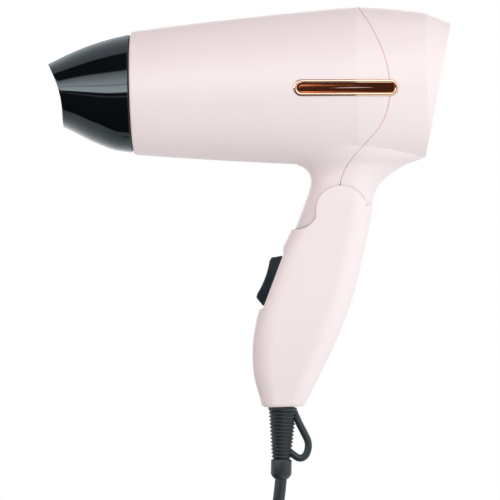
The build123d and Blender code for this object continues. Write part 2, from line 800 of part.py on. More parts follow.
with BuildPart() as thermostat:
    with BuildSketch(Plane.XZ.offset(BOARD / 2)):
        with Locations((BOARD_REAR_X - 5, AXIS_Z + 12)):
            Circle(4.5)
    extrude(amount=3.2)
finish(thermostat, "thermostat")

with BuildPart() as thermal_fuse:
    with BuildSketch(Plane(origin=(BOARD_REAR_X - 9.6, -BOARD / 2 - 1.65, AXIS_Z - 12), z_dir=(1, 0, 0))):
        Circle(1.6)
    extrude(amount=9)
finish(thermal_fuse, "thermal_fuse")

# Leads in the barrel, from the hinge up to the heat sleeve
with BuildPart() as barrel_leads:
    for lead_y in (-3.0, 3.0):
        wire(
            [
                (PIVOT_X, lead_y, PIVOT_Z + 1.6),
                (PIVOT_X - 1, lead_y, PIVOT_Z + 17),
                (PIVOT_X - 8, lead_y, PIVOT_Z + 24.4),
                (DUCT_FLANGE_X - 1, lead_y, AXIS_Z - DUCT_R - 1.5),
                (DUCT_FLANGE_X - 13, lead_y, AXIS_Z - SLEEVE_R - 2 * WIRE_R),
            ]
        )
finish(barrel_leads, "barrel_leads")

# Nozzle collar on the spigot, and the concentrator nozzle that turns on it
COLLAR_R = SPIGOT_R + SLIDE_CLEAR + COLLAR_WALL
with BuildPart() as nozzle_collar:
    ring(FRONT_X - 1, FRONT_X - 1 - COLLAR_LENGTH, COLLAR_R, SPIGOT_R + SLIDE_CLEAR)
finish(nozzle_collar, "nozzle_collar")

MOUTH_COS = math.cos(math.radians(MOUTH_TILT))
MOUTH_SIN = math.sin(math.radians(MOUTH_TILT))
with BuildPart() as nozzle_hollow:
    nozzle_loft(
        [
            (NOZZLE_BORE_DEPTH, COLLAR_R + NOZZLE_WALL - 1, COLLAR_R + NOZZLE_WALL - 1, 0),
            *NOZZLE_SECTIONS[1:],
        ],
        NOZZLE_WALL,
    )
    ring(FRONT_X, FRONT_X - NOZZLE_BORE_DEPTH, COLLAR_R + RUN_CLEAR)

with BuildPart() as concentrator_nozzle:
    nozzle_loft(NOZZLE_SECTIONS)
    add(nozzle_hollow.part, mode=Mode.SUBTRACT)
    with BuildSketch(Plane.XZ):
        with Locations(
            (
                MOUTH_X - (MOUTH_R - MOUTH_SAG) * MOUTH_COS,
                AXIS_Z + MOUTH_RISE - (MOUTH_R - MOUTH_SAG) * MOUTH_SIN,
            )
        ):
            Circle(MOUTH_R)
    extrude(amount=FAR, both=True, mode=Mode.SUBTRACT)
finish(concentrator_nozzle, "concentrator_nozzle")

# Handle forms: the outside, the hollow, the switch ribs, the screw bosses, the ears and the clamp block
with BuildPart() as handle_form:
    handle_loft(HANDLE_SECTIONS)
    fillet(handle_form.edges().group_by(Axis.Z)[0], HANDLE_ROUND)
    rocker_land(0)
    handle_side(0, Mode.INTERSECT)

with BuildPart() as handle_hollow:
    floor_section = (HANDLE_BOTTOM + HANDLE_WALL, *HANDLE_SECTIONS[-1][1:])
    handle_loft(HANDLE_SECTIONS[:-1] + [floor_section], HANDLE_WALL)
    rocker_land(HANDLE_WALL)

SWITCH_HALF = ROCKER_LENGTH / 2 - 1
SWITCH_TOP = -ROCKER_PIVOT_DEPTH - 2 * ROCKER_AXLE_R
SWITCH_Y = ROCKER_WIDTH / 2 + BODY_CLEAR

with BuildPart() as switch_ribs:
    add(handle_hollow.part)
    with BuildSketch(ROCKER_SIDE):
        for end in (-1, 1):
            with Locations((end * (SWITCH_HALF + SEAT_CLEAR + RIB / 2), SWITCH_TOP - SWITCH_DEPTH / 2)):
                Rectangle(RIB, SWITCH_DEPTH + 4)
    extrude(amount=FAR, both=True, mode=Mode.INTERSECT)

with BuildPart() as handle_bosses:
    add(handle_hollow.part)
    with BuildSketch(Plane.XZ):
        with Locations(*HANDLE_SCREWS):
            Circle(HANDLE_BOSS_R)
    extrude(amount=FAR, both=True, mode=Mode.INTERSECT)

with BuildPart() as handle_ears:
    handle_loft(HANDLE_SECTIONS)
    with BuildSketch(Plane.XZ):
        with Locations((PIVOT_X, PIVOT_Z)):
            Circle(EAR_R)
    extrude(amount=FAR, both=True, mode=Mode.INTERSECT)
    slab(CHEEK_OUT + BODY_CLEAR)

with BuildPart() as clamp_block:
    add(handle_hollow.part)
    with BuildSketch(RELIEF_SIDE):
        with Locations((0, CLAMP_RISE)):
            Rectangle(2 * CLAMP_HALF, CLAMP_HEIGHT)
    extrude(amount=FAR, both=True, mode=Mode.INTERSECT)
    split(bisect_by=Plane.XZ.offset(-CORD_R), keep=Keep.TOP)
    with BuildSketch(RELIEF_SIDE.offset(CORD_R)):
        with Locations((0, CLAMP_RISE)):
            Rectangle(2 * (CORD_R + SEAT_CLEAR), CLAMP_HEIGHT + 2)
    extrude(amount=-FAR, mode=Mode.SUBTRACT)
    with BuildSketch(RELIEF_SIDE.offset(CLAMP_SCREW_DEPTH - CORD_R)):
        with Locations((-CLAMP_SCREW_AT, CLAMP_RISE), (CLAMP_SCREW_AT, CLAMP_RISE)):
            Circle(SCREW_R + RUN_CLEAR)
    extrude(amount=-FAR, mode=Mode.SUBTRACT)


def handle_half(side):
    """One half of the handle, parted along the middle plane."""
    add(handle_form.part)
    add(handle_hollow.part, mode=Mode.SUBTRACT)
    add(switch_ribs.part)
    add(handle_bosses.part)
    add(handle_ears.part)
    ear_face = CHEEK_OUT + BODY_CLEAR
    pivot_end = ear_face + PIVOT_SEAT + SEAT_CLEAR
    along_y(PIVOT_X, PIVOT_Z, TONGUE_R + BODY_CLEAR, -ear_face, ear_face, Mode.SUBTRACT)
    along_y(PIVOT_X, PIVOT_Z, PIVOT_R + RUN_CLEAR, -pivot_end, pivot_end, Mode.SUBTRACT)
    with BuildSketch(ROCKER_SIDE) as opening:
        Rectangle(ROCKER_LENGTH + 2 * ROCKER_END_CLEAR, 2 * ROCKER_PIVOT_DEPTH)
    extrude(opening.sketch, amount=SWITCH_Y, both=True, mode=Mode.SUBTRACT)
    with BuildSketch(RELIEF_SIDE) as relief_hole:
        Rectangle(RELIEF_NECK_R + RUN_CLEAR, 4 * HANDLE_WALL, align=(Align.MIN, Align.CENTER))
    revolve(relief_hole.sketch, axis=RELIEF_AXIS, mode=Mode.SUBTRACT)
    for screw_x, screw_z in HANDLE_SCREWS:
        along_y(screw_x, screw_z, SCREW_R + RUN_CLEAR, -SCREW_END, FAR, Mode.SUBTRACT)
        along_y(screw_x, screw_z, SCREW_HEAD_R + SEAT_CLEAR, SCREW_SEAT, FAR, Mode.SUBTRACT)
    split(bisect_by=Plane.XZ, keep=side)


with BuildPart() as handle_left_shell:
    handle_half(Keep.TOP)
    add(clamp_block.part)
finish(handle_left_shell, "handle_left_shell")

with BuildPart() as handle_right_shell:
    handle_half(Keep.BOTTOM)
finish(handle_right_shell, "handle_right_shell")

with BuildPart() as handle_screws:
    for screw_x, screw_z in HANDLE_SCREWS:
        along_y(screw_x, screw_z, SCREW_R, SCREW_SEAT - SCREW_END - 3, SCREW_SEAT)
        along_y(screw_x, screw_z, SCREW_HEAD_R, SCREW_SEAT, SCREW_SEAT + SCREW_HEAD)
finish(handle_screws, "handle_screws")

# Hinge pivots, a hollow stub on each side
with BuildPart() as hinge_pivots:
    for side in (-1, 1):
        pivot_end = CHEEK_OUT + BODY_CLEAR + PIVOT_SEAT
        along_y(PIVOT_X, PIVOT_Z, PIVOT_R, side * CHEEK_IN, side * pivot_end)
        bore_end = pivot_end - PIVOT_SEAT / 2
        along_y(PIVOT_X, PIVOT_Z, PIVOT_BORE_R, side * CHEEK_IN, side * bore_end, Mode.SUBTRACT)
finish(hinge_pivots, "hinge_pivots")

# Rocker button with a dished top, on an axle in the switch case
with BuildPart() as rocker_button:
    half = ROCKER_LENGTH / 2
    flat = ROCKER_FLAT / 2
    with BuildSketch(ROCKER_SIDE):
        with BuildLine():
            Polyline(
                (-flat, ROCKER_PROUD),
                (-half + ROCKER_SHOULDER, ROCKER_PROUD - 0.3),
                (-half, 0),
                (-half + 0.45, -ROCKER_SKIRT),
                (-4, -ROCKER_PIVOT_DEPTH - 2),
                (4, -ROCKER_PIVOT_DEPTH - 2),
                (half - 0.45, -ROCKER_SKIRT),
                (half, 0),
                (half - ROCKER_SHOULDER, ROCKER_PROUD - 0.3),
                (flat, ROCKER_PROUD),
            )
            ThreePointArc((flat, ROCKER_PROUD), (0, ROCKER_PROUD - ROCKER_DISH), (-flat, ROCKER_PROUD))
        make_face()
    extrude(amount=ROCKER_WIDTH / 2, both=True)
    side_edges = rocker_button.faces().filter_by(Axis.Y).edges()
    fillet([edge for edge in side_edges if ROCKER_SIDE.to_local_coords(edge.center()).Y > 0], ROCKER_ROUND)
    with BuildSketch(ROCKER_SIDE):
        with Locations((0, -ROCKER_PIVOT_DEPTH)):
            Circle(ROCKER_AXLE_R)
    extrude(amount=SWITCH_Y + SWITCH_WALL - SEAT_CLEAR, both=True)
finish(rocker_button, "rocker_button")

with BuildPart() as switch_case:
    with BuildSketch(ROCKER_SIDE):
        with Locations((0, SWITCH_TOP - SWITCH_DEPTH / 2)):
            Rectangle(2 * SWITCH_HALF, SWITCH_DEPTH)
    extrude(amount=SWITCH_Y + SWITCH_WALL, both=True)
    for side in (-1, 1):
        with BuildSketch(ROCKER_SIDE.offset(side * SWITCH_Y)):
            with Locations((0, SWITCH_TOP)):
                Rectangle(2 * SWITCH_CHEEK, 2 * (ROCKER_AXLE_R + SWITCH_WALL + ROCKER_AXLE_R))
            with Locations((0, -ROCKER_PIVOT_DEPTH)):
                Circle(ROCKER_AXLE_R + RUN_CLEAR, mode=Mode.SUBTRACT)
        extrude(amount=side * SWITCH_WALL)
finish(switch_case, "switch_case")

with BuildPart() as switch_terminals:
    with BuildSketch(ROCKER_SIDE):
        for step in (-1, 0, 1):
            with Locations((step * TERMINAL_PITCH, SWITCH_TOP - SWITCH_DEPTH - TERMINAL_LENGTH / 2)):
                Rectangle(0.8, TERMINAL_LENGTH)
    extrude(amount=2.4, both=True)
finish(switch_terminals, "switch_terminals")

# Strain relief: flange inside the handle, neck in its floor, ribbed taper, collar and hang loop
RELIEF_LEDGE = HANDLE_WALL + RELIEF_SEAT
RELIEF_TOP = RELIEF_LEDGE + RELIEF_FLANGE
with BuildPart() as strain_relief:
    taper = (RELIEF_RIB_TOP_R - RELIEF_RIB_END_R) / (RELIEF_RIBS - 1)
    outline = [(0, RELIEF_TOP), (RELIEF_FLANGE_R, RELIEF_TOP), (RELIEF_FLANGE_R, RELIEF_LEDGE)]
    outline += [(RELIEF_NECK_R, RELIEF_LEDGE), (RELIEF_NECK_R, -RELIEF_SEAT), (RELIEF_ROOT_R, -RELIEF_SEAT)]
    for index in range(RELIEF_RIBS):
        rib_r = RELIEF_RIB_TOP_R - taper * index
        rib_start = RELIEF_RIB_START + RELIEF_RIB_PITCH * index
        groove_end = rib_start if index else RELIEF_RIB_START - RELIEF_GROOVE
        outline.append((rib_r - RELIEF_GROOVE if index else RELIEF_ROOT_R, -groove_end))
        outline += [(rib_r, -rib_start), (rib_r, -rib_start - RELIEF_RIB_PITCH + RELIEF_GROOVE)]
        outline.append((rib_r - RELIEF_GROOVE, -rib_start - RELIEF_RIB_PITCH + RELIEF_GROOVE))
    outline += [
        (RELIEF_RIB_END_R - RELIEF_GROOVE, -RELIEF_COLLAR_START),
        (RELIEF_COLLAR_R, -RELIEF_COLLAR_START),
        (RELIEF_COLLAR_R, -RELIEF_COLLAR_END),
        (RELIEF_END_R, -RELIEF_LENGTH),
        (0, -RELIEF_LENGTH),
    ]
    with BuildSketch(RELIEF_SIDE):
        with BuildLine():
            Polyline(*outline, close=True)
        make_face()
    revolve(axis=RELIEF_AXIS)
    with BuildLine() as loop_path:
        FilletPolyline(*[(x, 0, z) for x, z in LOOP_POINTS], radius=LOOP_ROUND)
    tube(joined(loop_path), LOOP_BAR_R)
finish(strain_relief, "strain_relief")


def relief_point(rise):
    """Point on the strain relief's axis, by its height above the handle's bottom along that axis."""
    return Vector(RELIEF_X + rise * RELIEF_SIN, 0, HANDLE_BOTTOM + rise * RELIEF_COS)


# Inner end of the cord, its clamp and the leads in the handle
with BuildPart() as cord_inner_tail:
    with BuildLine() as tail_path:
        Line(relief_point(RELIEF_TOP), relief_point(RELIEF_TOP + CORD_TAIL))
    tube(joined(tail_path), CORD_R)
finish(cord_inner_tail, "cord_inner_tail")

with BuildPart() as cord_clamp:
    with BuildSketch(RELIEF_SIDE.offset(-CORD_R)):
        with Locations((0, CLAMP_RISE)):
            RectangleRounded(2 * CLAMP_HALF, CLAMP_HEIGHT, 1)
        with Locations((-CLAMP_SCREW_AT, CLAMP_RISE), (CLAMP_SCREW_AT, CLAMP_RISE)):
            Circle(SCREW_R + SEAT_CLEAR, mode=Mode.SUBTRACT)
    extrude(amount=-CLAMP)
finish(cord_clamp, "cord_clamp")

with BuildPart() as clamp_screws:
    with BuildSketch(RELIEF_SIDE.offset(-CORD_R - CLAMP)):
        with Locations((-CLAMP_SCREW_AT, CLAMP_RISE), (CLAMP_SCREW_AT, CLAMP_RISE)):
            Circle(SCREW_HEAD_R)
    extrude(amount=-SCREW_HEAD)
    with BuildSketch(RELIEF_SIDE.offset(-CORD_R - CLAMP)):
        with Locations((-CLAMP_SCREW_AT, CLAMP_RISE), (CLAMP_SCREW_AT, CLAMP_RISE)):
            Circle(SCREW_R)
    extrude(amount=CLAMP + CLAMP_SCREW_DEPTH - SEAT_CLEAR)
finish(clamp_screws, "clamp_screws")

TAIL_START = relief_point(RELIEF_TOP + CORD_TAIL)
TAIL_END = relief_point(RELIEF_TOP + CORD_TAIL + 8)
with BuildPart() as handle_leads:
    for lead_y in (-1.4, 1.4):
        wire(
            [
                (TAIL_START.X, lead_y, TAIL_START.Z),
                (TAIL_END.X, lead_y, TAIL_END.Z),
                (11.2, 2 * lead_y, 0),
                (14.5, 2 * lead_y, 12),
                (PIVOT_X + 0.5, 2.1 * lead_y, 24),
                (PIVOT_X, 2.1 * lead_y, PIVOT_Z - 1.5),
            ]
        )
finish(handle_leads, "handle_leads")

# Cord: free stretch, coil, tie and plug
with BuildPart() as power_cord:
    with BuildLine() as cord_path:
        FilletPolyline(*LEAD_POINTS, radius=bend_radii(LEAD_POINTS))
    tube(joined(cord_path), CORD_R)
print("power_cord: bend radii", [round(radius, 1) for radius in bend_radii(LEAD_POINTS)])
report_tube("power_cord", power_cord, joined(cord_path), CORD_R)
finish(power_cord, "power_cord")

HEADING = math.radians(COIL_HEADING)
COIL_SLOPE = COIL_STEP / (2 * math.pi)
COIL_START = Vector(*LEAD_POINTS[-1])
COIL_LEAVE = Vector(math.cos(HEADING), math.sin(HEADING), 0)
COIL_FIRST = COIL_START + COIL_LEAVE * 2 * CORD_R
COIL_TURN0 = HEADING - math.pi / 2 - math.atan(COIL_SLOPE / COIL_R)
COIL_MIDDLE = COIL_FIRST - Vector(math.cos(COIL_TURN0), math.sin(COIL_TURN0), 0) * COIL_R
COIL_INNER_R = COIL_R - COIL_STEP * COIL_TURNS_IN


def coil_station(turn, radius, growth, rise=0.0, climb=0.0):
    """Point and direction on the coil after some turns, with its radius and the growth of radius and height."""
    angle = COIL_TURN0 + 2 * math.pi * turn
    out = Vector(math.cos(angle), math.sin(angle), 0)
    round_way = Vector(-math.sin(angle), math.cos(angle), 0)
    point = COIL_MIDDLE + out * radius + Vector(0, 0, rise)
    return point, (out * growth + round_way * (2 * math.pi * radius) + Vector(0, 0, climb)).normalized()


def coil_stations():
    """Stations of the coil: inwards on the floor, over the half turn where it climbs, and outwards again."""
    stations = []
    for step in range(int(4 * COIL_TURNS_IN)):
        turn = step / 4
        stations.append(coil_station(turn, COIL_R - COIL_STEP * turn, -COIL_STEP))
    for step in range(4):
        part = step / 4
        back = part / 2
        radius = COIL_INNER_R - COIL_STEP * back + 2 * COIL_STEP * back**2
        rise = COIL_LAYER * part**2 * (3 - 2 * part)
        climb = 12 * COIL_LAYER * part * (1 - part)
        growth = COIL_STEP * (4 * back - 1)
        stations.append(coil_station(COIL_TURNS_IN + back, radius, growth, rise, climb))
    first_out = COIL_TURNS_IN + 0.5
    ahead = -math.pi / 2 - COIL_TURN0 - 2 * math.pi * first_out
    turns_out = COIL_TURNS_OUT + (ahead / (2 * math.pi)) % 1
    end_r = COIL_INNER_R + COIL_STEP * turns_out
    turns_out += math.atan(COIL_SLOPE / end_r) / (2 * math.pi)
    count = math.ceil(4 * turns_out)
    for step in range(count + 1):
        turn = turns_out * step / count
        stations.append(
            coil_station(first_out + turn, COIL_INNER_R + COIL_STEP * turn, COIL_STEP, COIL_LAYER)
        )
    return stations


with BuildPart() as cord_coil:
    turns = coil_stations()
    with BuildLine() as coil_path:
        Line(COIL_START, COIL_FIRST)
        wind(turns)
        Line(turns[-1][0], turns[-1][0] + turns[-1][1] * COIL_END)
    tube(joined(coil_path), CORD_R)
print(f"cord_coil: least gap {least_gap(joined(coil_path), CORD_R, 3.0):.2f}")
report_tube("cord_coil", cord_coil, joined(coil_path), CORD_R)
finish(cord_coil, "cord_coil")

TIE_IN = COIL_INNER_R - COIL_STEP / 6 - CORD_R - 0.7
TIE_OUT = COIL_R - COIL_STEP / 3 + CORD_R
TIE_LOW = COIL_START.Z - CORD_R - TIE_CLEAR
TIE_HIGH = COIL_START.Z + COIL_LAYER + CORD_R + TIE_CLEAR
with BuildPart() as cord_tie:
    with BuildSketch(Plane.XZ.offset(-COIL_MIDDLE.Y)):
        with Locations((COIL_MIDDLE.X - (TIE_IN + TIE_OUT) / 2, (TIE_LOW + TIE_HIGH) / 2)):
            RectangleRounded(TIE_OUT - TIE_IN + 2 * TIE, TIE_HIGH - TIE_LOW + 2 * TIE, CORD_R + TIE)
            RectangleRounded(TIE_OUT - TIE_IN, TIE_HIGH - TIE_LOW, CORD_R, mode=Mode.SUBTRACT)
    extrude(amount=TIE_WIDTH / 2, both=True)
finish(cord_tie, "cord_tie")

PLUG_START = joined(coil_path) @ 1


def plug_plane(ahead):
    """Plane square to the plug's length, with its own x along Y and its own y up."""
    return Plane(origin=PLUG_START + Vector(ahead, 0, 0), x_dir=(0, 1, 0), z_dir=(1, 0, 0))


PLUG_FACE = PLUG_SECTIONS[-1][0]
with BuildPart() as plug_body:
    for ahead, half_width, half_height in PLUG_SECTIONS:
        with BuildSketch(plug_plane(ahead)):
            Ellipse(half_width, half_height)
    loft()
    with BuildSketch(plug_plane(PLUG_FACE)):
        with GridLocations(PIN_PITCH, 0, 2, 1):
            Circle(PIN_ROOT_R + RUN_CLEAR)
    extrude(amount=-PIN_ROOT, mode=Mode.SUBTRACT)
finish(plug_body, "plug_body")

with BuildPart() as plug_pins:
    with BuildSketch(plug_plane(PLUG_FACE)):
        with GridLocations(PIN_PITCH, 0, 2, 1):
            Circle(PIN_R)
    extrude(amount=PIN_LENGTH)
    chamfer(plug_pins.edges().group_by(Axis.X)[-1], PIN_R / 3)
    with BuildSketch(plug_plane(PLUG_FACE)):
        with GridLocations(PIN_PITCH, 0, 2, 1):
            Circle(PIN_ROOT_R)
    extrude(amount=-PIN_ROOT)
finish(plug_pins, "plug_pins")
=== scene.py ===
# %% [markdown]
# A folding hair dryer with a black concentrator nozzle, dressed in Blender around its CAD frame. The
# frame already holds every rigid part at its true place and size, in metres, so none has to be placed by
# eye. This lesson lays the cord, gives each part its finish, and remakes the few parts whose looks need a
# finer mesh.

# %% Load the frame
import bmesh
import bpy
import json
import math
from mathutils import Matrix, Vector


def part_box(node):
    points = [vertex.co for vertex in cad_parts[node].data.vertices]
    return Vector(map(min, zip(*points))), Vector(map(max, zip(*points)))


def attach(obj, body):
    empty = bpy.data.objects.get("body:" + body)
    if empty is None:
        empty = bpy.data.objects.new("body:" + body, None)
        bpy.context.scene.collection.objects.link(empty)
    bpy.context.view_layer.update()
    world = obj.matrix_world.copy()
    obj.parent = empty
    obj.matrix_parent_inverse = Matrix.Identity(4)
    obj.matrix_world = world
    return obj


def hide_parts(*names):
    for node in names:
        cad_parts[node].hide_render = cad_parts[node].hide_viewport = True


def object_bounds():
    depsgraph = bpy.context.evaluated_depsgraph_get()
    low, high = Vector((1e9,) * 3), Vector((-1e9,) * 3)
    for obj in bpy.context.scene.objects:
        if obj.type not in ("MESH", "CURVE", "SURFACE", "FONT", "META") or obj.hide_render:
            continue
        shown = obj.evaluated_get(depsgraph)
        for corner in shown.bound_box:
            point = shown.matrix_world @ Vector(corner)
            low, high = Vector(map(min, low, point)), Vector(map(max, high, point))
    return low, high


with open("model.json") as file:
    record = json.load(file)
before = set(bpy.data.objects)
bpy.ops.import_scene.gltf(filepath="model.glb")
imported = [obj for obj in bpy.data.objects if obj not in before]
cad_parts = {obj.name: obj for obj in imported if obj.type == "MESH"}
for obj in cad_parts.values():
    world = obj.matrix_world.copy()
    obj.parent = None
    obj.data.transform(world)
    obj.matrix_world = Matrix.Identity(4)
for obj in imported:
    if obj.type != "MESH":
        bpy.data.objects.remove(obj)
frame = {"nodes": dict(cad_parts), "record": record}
cad_box = [list(corner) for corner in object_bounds()]
scene = bpy.context.scene
scene.view_settings.view_transform = "Standard"
MM = 0.001

# %% [markdown]
# The photograph is taken from far away with a long lens, so the dryer shows almost no perspective. A
# camera that looks at one point from a known distance gives that view: yaw turns the nose slightly away,
# and roll tips the whole picture so that the rear of the barrel rises a little.

# %% Camera
VIEW_POINT = Vector((-27.3, 0.0, 30.18)) * MM
VIEW_DISTANCE = 2.34
VIEW_WIDTH = 0.260
VIEW_YAW = math.radians(2.0)
VIEW_ROLL = math.radians(-1.6)

camera_data = bpy.data.cameras.new("photo_camera")
camera_data.sensor_width = 36.0
camera_data.lens = camera_data.sensor_width * VIEW_DISTANCE / VIEW_WIDTH
camera = bpy.data.objects.new("photo_camera", camera_data)
scene.collection.objects.link(camera)
away = Vector((math.sin(VIEW_YAW), -math.cos(VIEW_YAW), 0.0))
facing = (-away).to_track_quat("-Z", "Y").to_matrix().to_4x4() @ Matrix.Rotation(VIEW_ROLL, 4, "Z")
camera.matrix_world = Matrix.Translation(VIEW_POINT + away * VIEW_DISTANCE) @ facing
scene.camera = camera
print("camera: lens", round(camera_data.lens, 1), "mm at", VIEW_DISTANCE, "m")

# %% [markdown]
# A mains cord is one flexible length, so it is drawn as one smooth spline: straight out of the strain
# relief, down to the floor, and round into the coil in which the spare length is tied up. A quadratic
# spline runs a little inside its control points, so the coil's points stand out by the small factor that
# brings the turns back to their radius.

# %% Route of the cord
CORD_R = 3.1
LEAD_POINTS = [
    (-14.5, 0.0, -89.15),
    (-16.3, 0.0, -104.0),
    (-21.5, 7.0, -125.0),
    (-32.0, 17.5, -140.0),
    (-45.5, 31.0, -145.9),
    (-56.0, 41.5, -145.9),
]
COIL_R = 47.4
COIL_STEP = 6.8
COIL_LAYER = 6.8
COIL_TURNS_IN = 3.25
COIL_TURNS_OUT = 2
COIL_HEADING = math.radians(135.0)
COIL_END = 18.0
TURN = 2 * math.pi
POINTS_PER_TURN = 20
STAND_OUT = 1 / (0.75 + 0.25 * math.cos(TURN / POINTS_PER_TURN))


def heading(angle, length=1.0):
    """Level vector at an angle from X."""
    return Vector((math.cos(angle), math.sin(angle), 0.0)) * length


coil_first = Vector(LEAD_POINTS[-1]) + heading(COIL_HEADING, 2 * CORD_R)
first_angle = COIL_HEADING - TURN / 4 - math.atan(COIL_STEP / (TURN * COIL_R))
coil_middle = coil_first - heading(first_angle, COIL_R)
inner_r = COIL_R - COIL_STEP * COIL_TURNS_IN
turn_back = COIL_TURNS_IN + 0.5
turns_out = COIL_TURNS_OUT + (-0.25 - first_angle / TURN - turn_back) % 1
turns_out += math.atan(COIL_STEP / (TURN * (inner_r + COIL_STEP * turns_out))) / TURN
last_turn = turn_back + turns_out


def coil_point(turn, reach=1.0):
    """Point of the coil after some turns: inwards, half a turn up, and outwards on top of the first layer."""
    rise = 0.0
    if turn <= COIL_TURNS_IN:
        radius = COIL_R - COIL_STEP * turn
    elif turn <= turn_back:
        back = turn - COIL_TURNS_IN
        radius = inner_r - COIL_STEP * back + 2 * COIL_STEP * back**2
        rise = COIL_LAYER * (2 * back) ** 2 * (3 - 4 * back)
    else:
        radius = inner_r + COIL_STEP * (turn - turn_back)
        rise = COIL_LAYER
    return coil_middle + heading(first_angle + TURN * turn, radius * reach) + Vector((0, 0, rise))


coil_steps = math.ceil(last_turn * POINTS_PER_TURN)
coil_exit = coil_point(last_turn)
plug_start = coil_exit + Vector((COIL_END, 0, 0))
route = [Vector(point) for point in LEAD_POINTS]
route += [coil_point(last_turn * step / coil_steps, STAND_OUT) for step in range(coil_steps)]
route += [coil_exit, coil_exit.lerp(plug_start, 0.5), plug_start]
print("route:", len(route), "points, coil of", round(last_turn, 2), "turns, plug at", plug_start)

# %% [markdown]
# Now the route becomes a cord. A curve with a round bevel is lighter than a swept mesh and easy to lay
# anew, so the points go into a NURBS spline. The bevel has a depth of 1, and each point's radius brings
# it to the cord's own.

# %% Cord
cord_curve = bpy.data.curves.new("mains_cord", "CURVE")
cord_curve.dimensions = "3D"
cord_curve.bevel_depth = 1.0
cord_curve.bevel_resolution = 6
cord_curve.use_fill_caps = True
spline = cord_curve.splines.new("NURBS")
spline.points.add(len(route) - 1)
for point, place in zip(spline.points, route):
    point.co = (*(place * MM), 1.0)
    point.radius = CORD_R * MM
spline.order_u = 3
spline.use_endpoint_u = True
spline.resolution_u = 6
cord = bpy.data.objects.new("mains_cord", cord_curve)
scene.collection.objects.link(cord)
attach(cord, "handle")
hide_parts("power_cord", "cord_coil")

# %% [markdown]
# Every finish is a small node tree. Written node by node that is long and hard to read, so one class
# wraps a socket: sums on it add Math nodes, and its node method adds any other node from its type,
# settings and socket values.

# %% Shader sockets as values
class Shade:
    """A shader socket that works in plain sums and can add nodes to its tree."""

    def __init__(self, tree, socket=None):
        self.tree = tree
        self.socket = socket

    def node(self, kind, inputs=None, output=0, **settings):
        """Add a node: its settings first, then the values or links of its sockets."""
        made = self.tree.nodes.new(kind)
        stops = settings.pop("stops", None)
        for name, value in settings.items():
            setattr(made, name, value)
        if stops:
            while len(made.color_ramp.elements) < len(stops):
                made.color_ramp.elements.new(1.0)
            for element, (position, tint) in zip(made.color_ramp.elements, stops):
                element.position = position
                element.color = tint
        for key, value in (inputs or {}).items():
            if isinstance(value, Shade):
                self.tree.links.new(value.socket, made.inputs[key])
            else:
                made.inputs[key].default_value = value
        return Shade(self.tree, made.outputs[output] if made.outputs else None)

    def math(self, operation, first, second):
        return self.node("ShaderNodeMath", {0: first, 1: second}, operation=operation)

    def __add__(self, other):
        return self.math("ADD", self, other)

    def __radd__(self, other):
        return self.math("ADD", other, self)

    def __sub__(self, other):
        return self.math("SUBTRACT", self, other)

    def __rsub__(self, other):
        return self.math("SUBTRACT", other, self)

    def __mul__(self, other):
        return self.math("MULTIPLY", self, other)

    def __rmul__(self, other):
        return self.math("MULTIPLY", other, self)


def colour(red, green, blue):
    """Linear colour with full alpha."""
    return (red, green, blue, 1.0)


def new_tree(owner):
    """Empty node tree of a material or a world."""
    owner.use_nodes = True
    owner.node_tree.nodes.clear()
    return Shade(owner.node_tree)


print("shader helper ready")

# %% [markdown]
# The finishes follow how the parts are made. Moulded plastic keeps a trace of its tool: a grain that only
# shows in the gloss, and a faint drift of colour where the melt flowed. One function makes all of these
# from a few numbers, and metals, fabric and boards have their own. Patterns use object coordinates, so
# they stay at their real scale.

# %% Moulded plastics and rubber
NO_TINT = (1.0, 1.0, 1.0)
# The cool specular tint is painted light: it gives the gloss of the black plastics the blue cast of the soft
# boxes.
PAINTED_COOL_GLOSS_TINT = (0.75, 0.92, 1.0)
TOOL_SHARE, FLOW_SHARE = 0.6, 0.4
COAT_ROUGHNESS = 0.06


def moulded(name, deep, light, gloss, grain, relief, drift=30.0, coat=0.0, specular=0.5, tint=NO_TINT):
    """Moulded material: two close colours, a range of roughness, and grain of a size (mm) and relief (mm)."""
    material = bpy.data.materials.new(name)
    tree = new_tree(material)
    place = tree.node("ShaderNodeTexCoord", output="Object")
    flow = tree.node("ShaderNodeTexNoise", {"Vector": place, "Scale": drift, "Detail": 2.0}, "Fac")
    tool = tree.node("ShaderNodeTexNoise", {"Vector": place, "Scale": 1 / (grain * MM), "Detail": 3.0}, "Fac")
    body = tree.node("ShaderNodeMix", {0: flow, 6: deep, 7: light}, 2, data_type="RGBA")
    bump = tree.node("ShaderNodeBump", {"Height": tool, "Strength": 1.0, "Distance": relief * MM}, "Normal")
    surface = tree.node(
        "ShaderNodeBsdfPrincipled",
        {
            "Base Color": body,
            "Roughness": gloss[0] + (gloss[1] - gloss[0]) * (TOOL_SHARE * tool + FLOW_SHARE * flow),
            "Specular IOR Level": specular,
            "Specular Tint": colour(*tint),
            "Coat Weight": coat,
            "Coat Roughness": COAT_ROUGHNESS,
            "Normal": bump,
        },
    )
    tree.node("ShaderNodeOutputMaterial", {"Surface": surface})
    return material


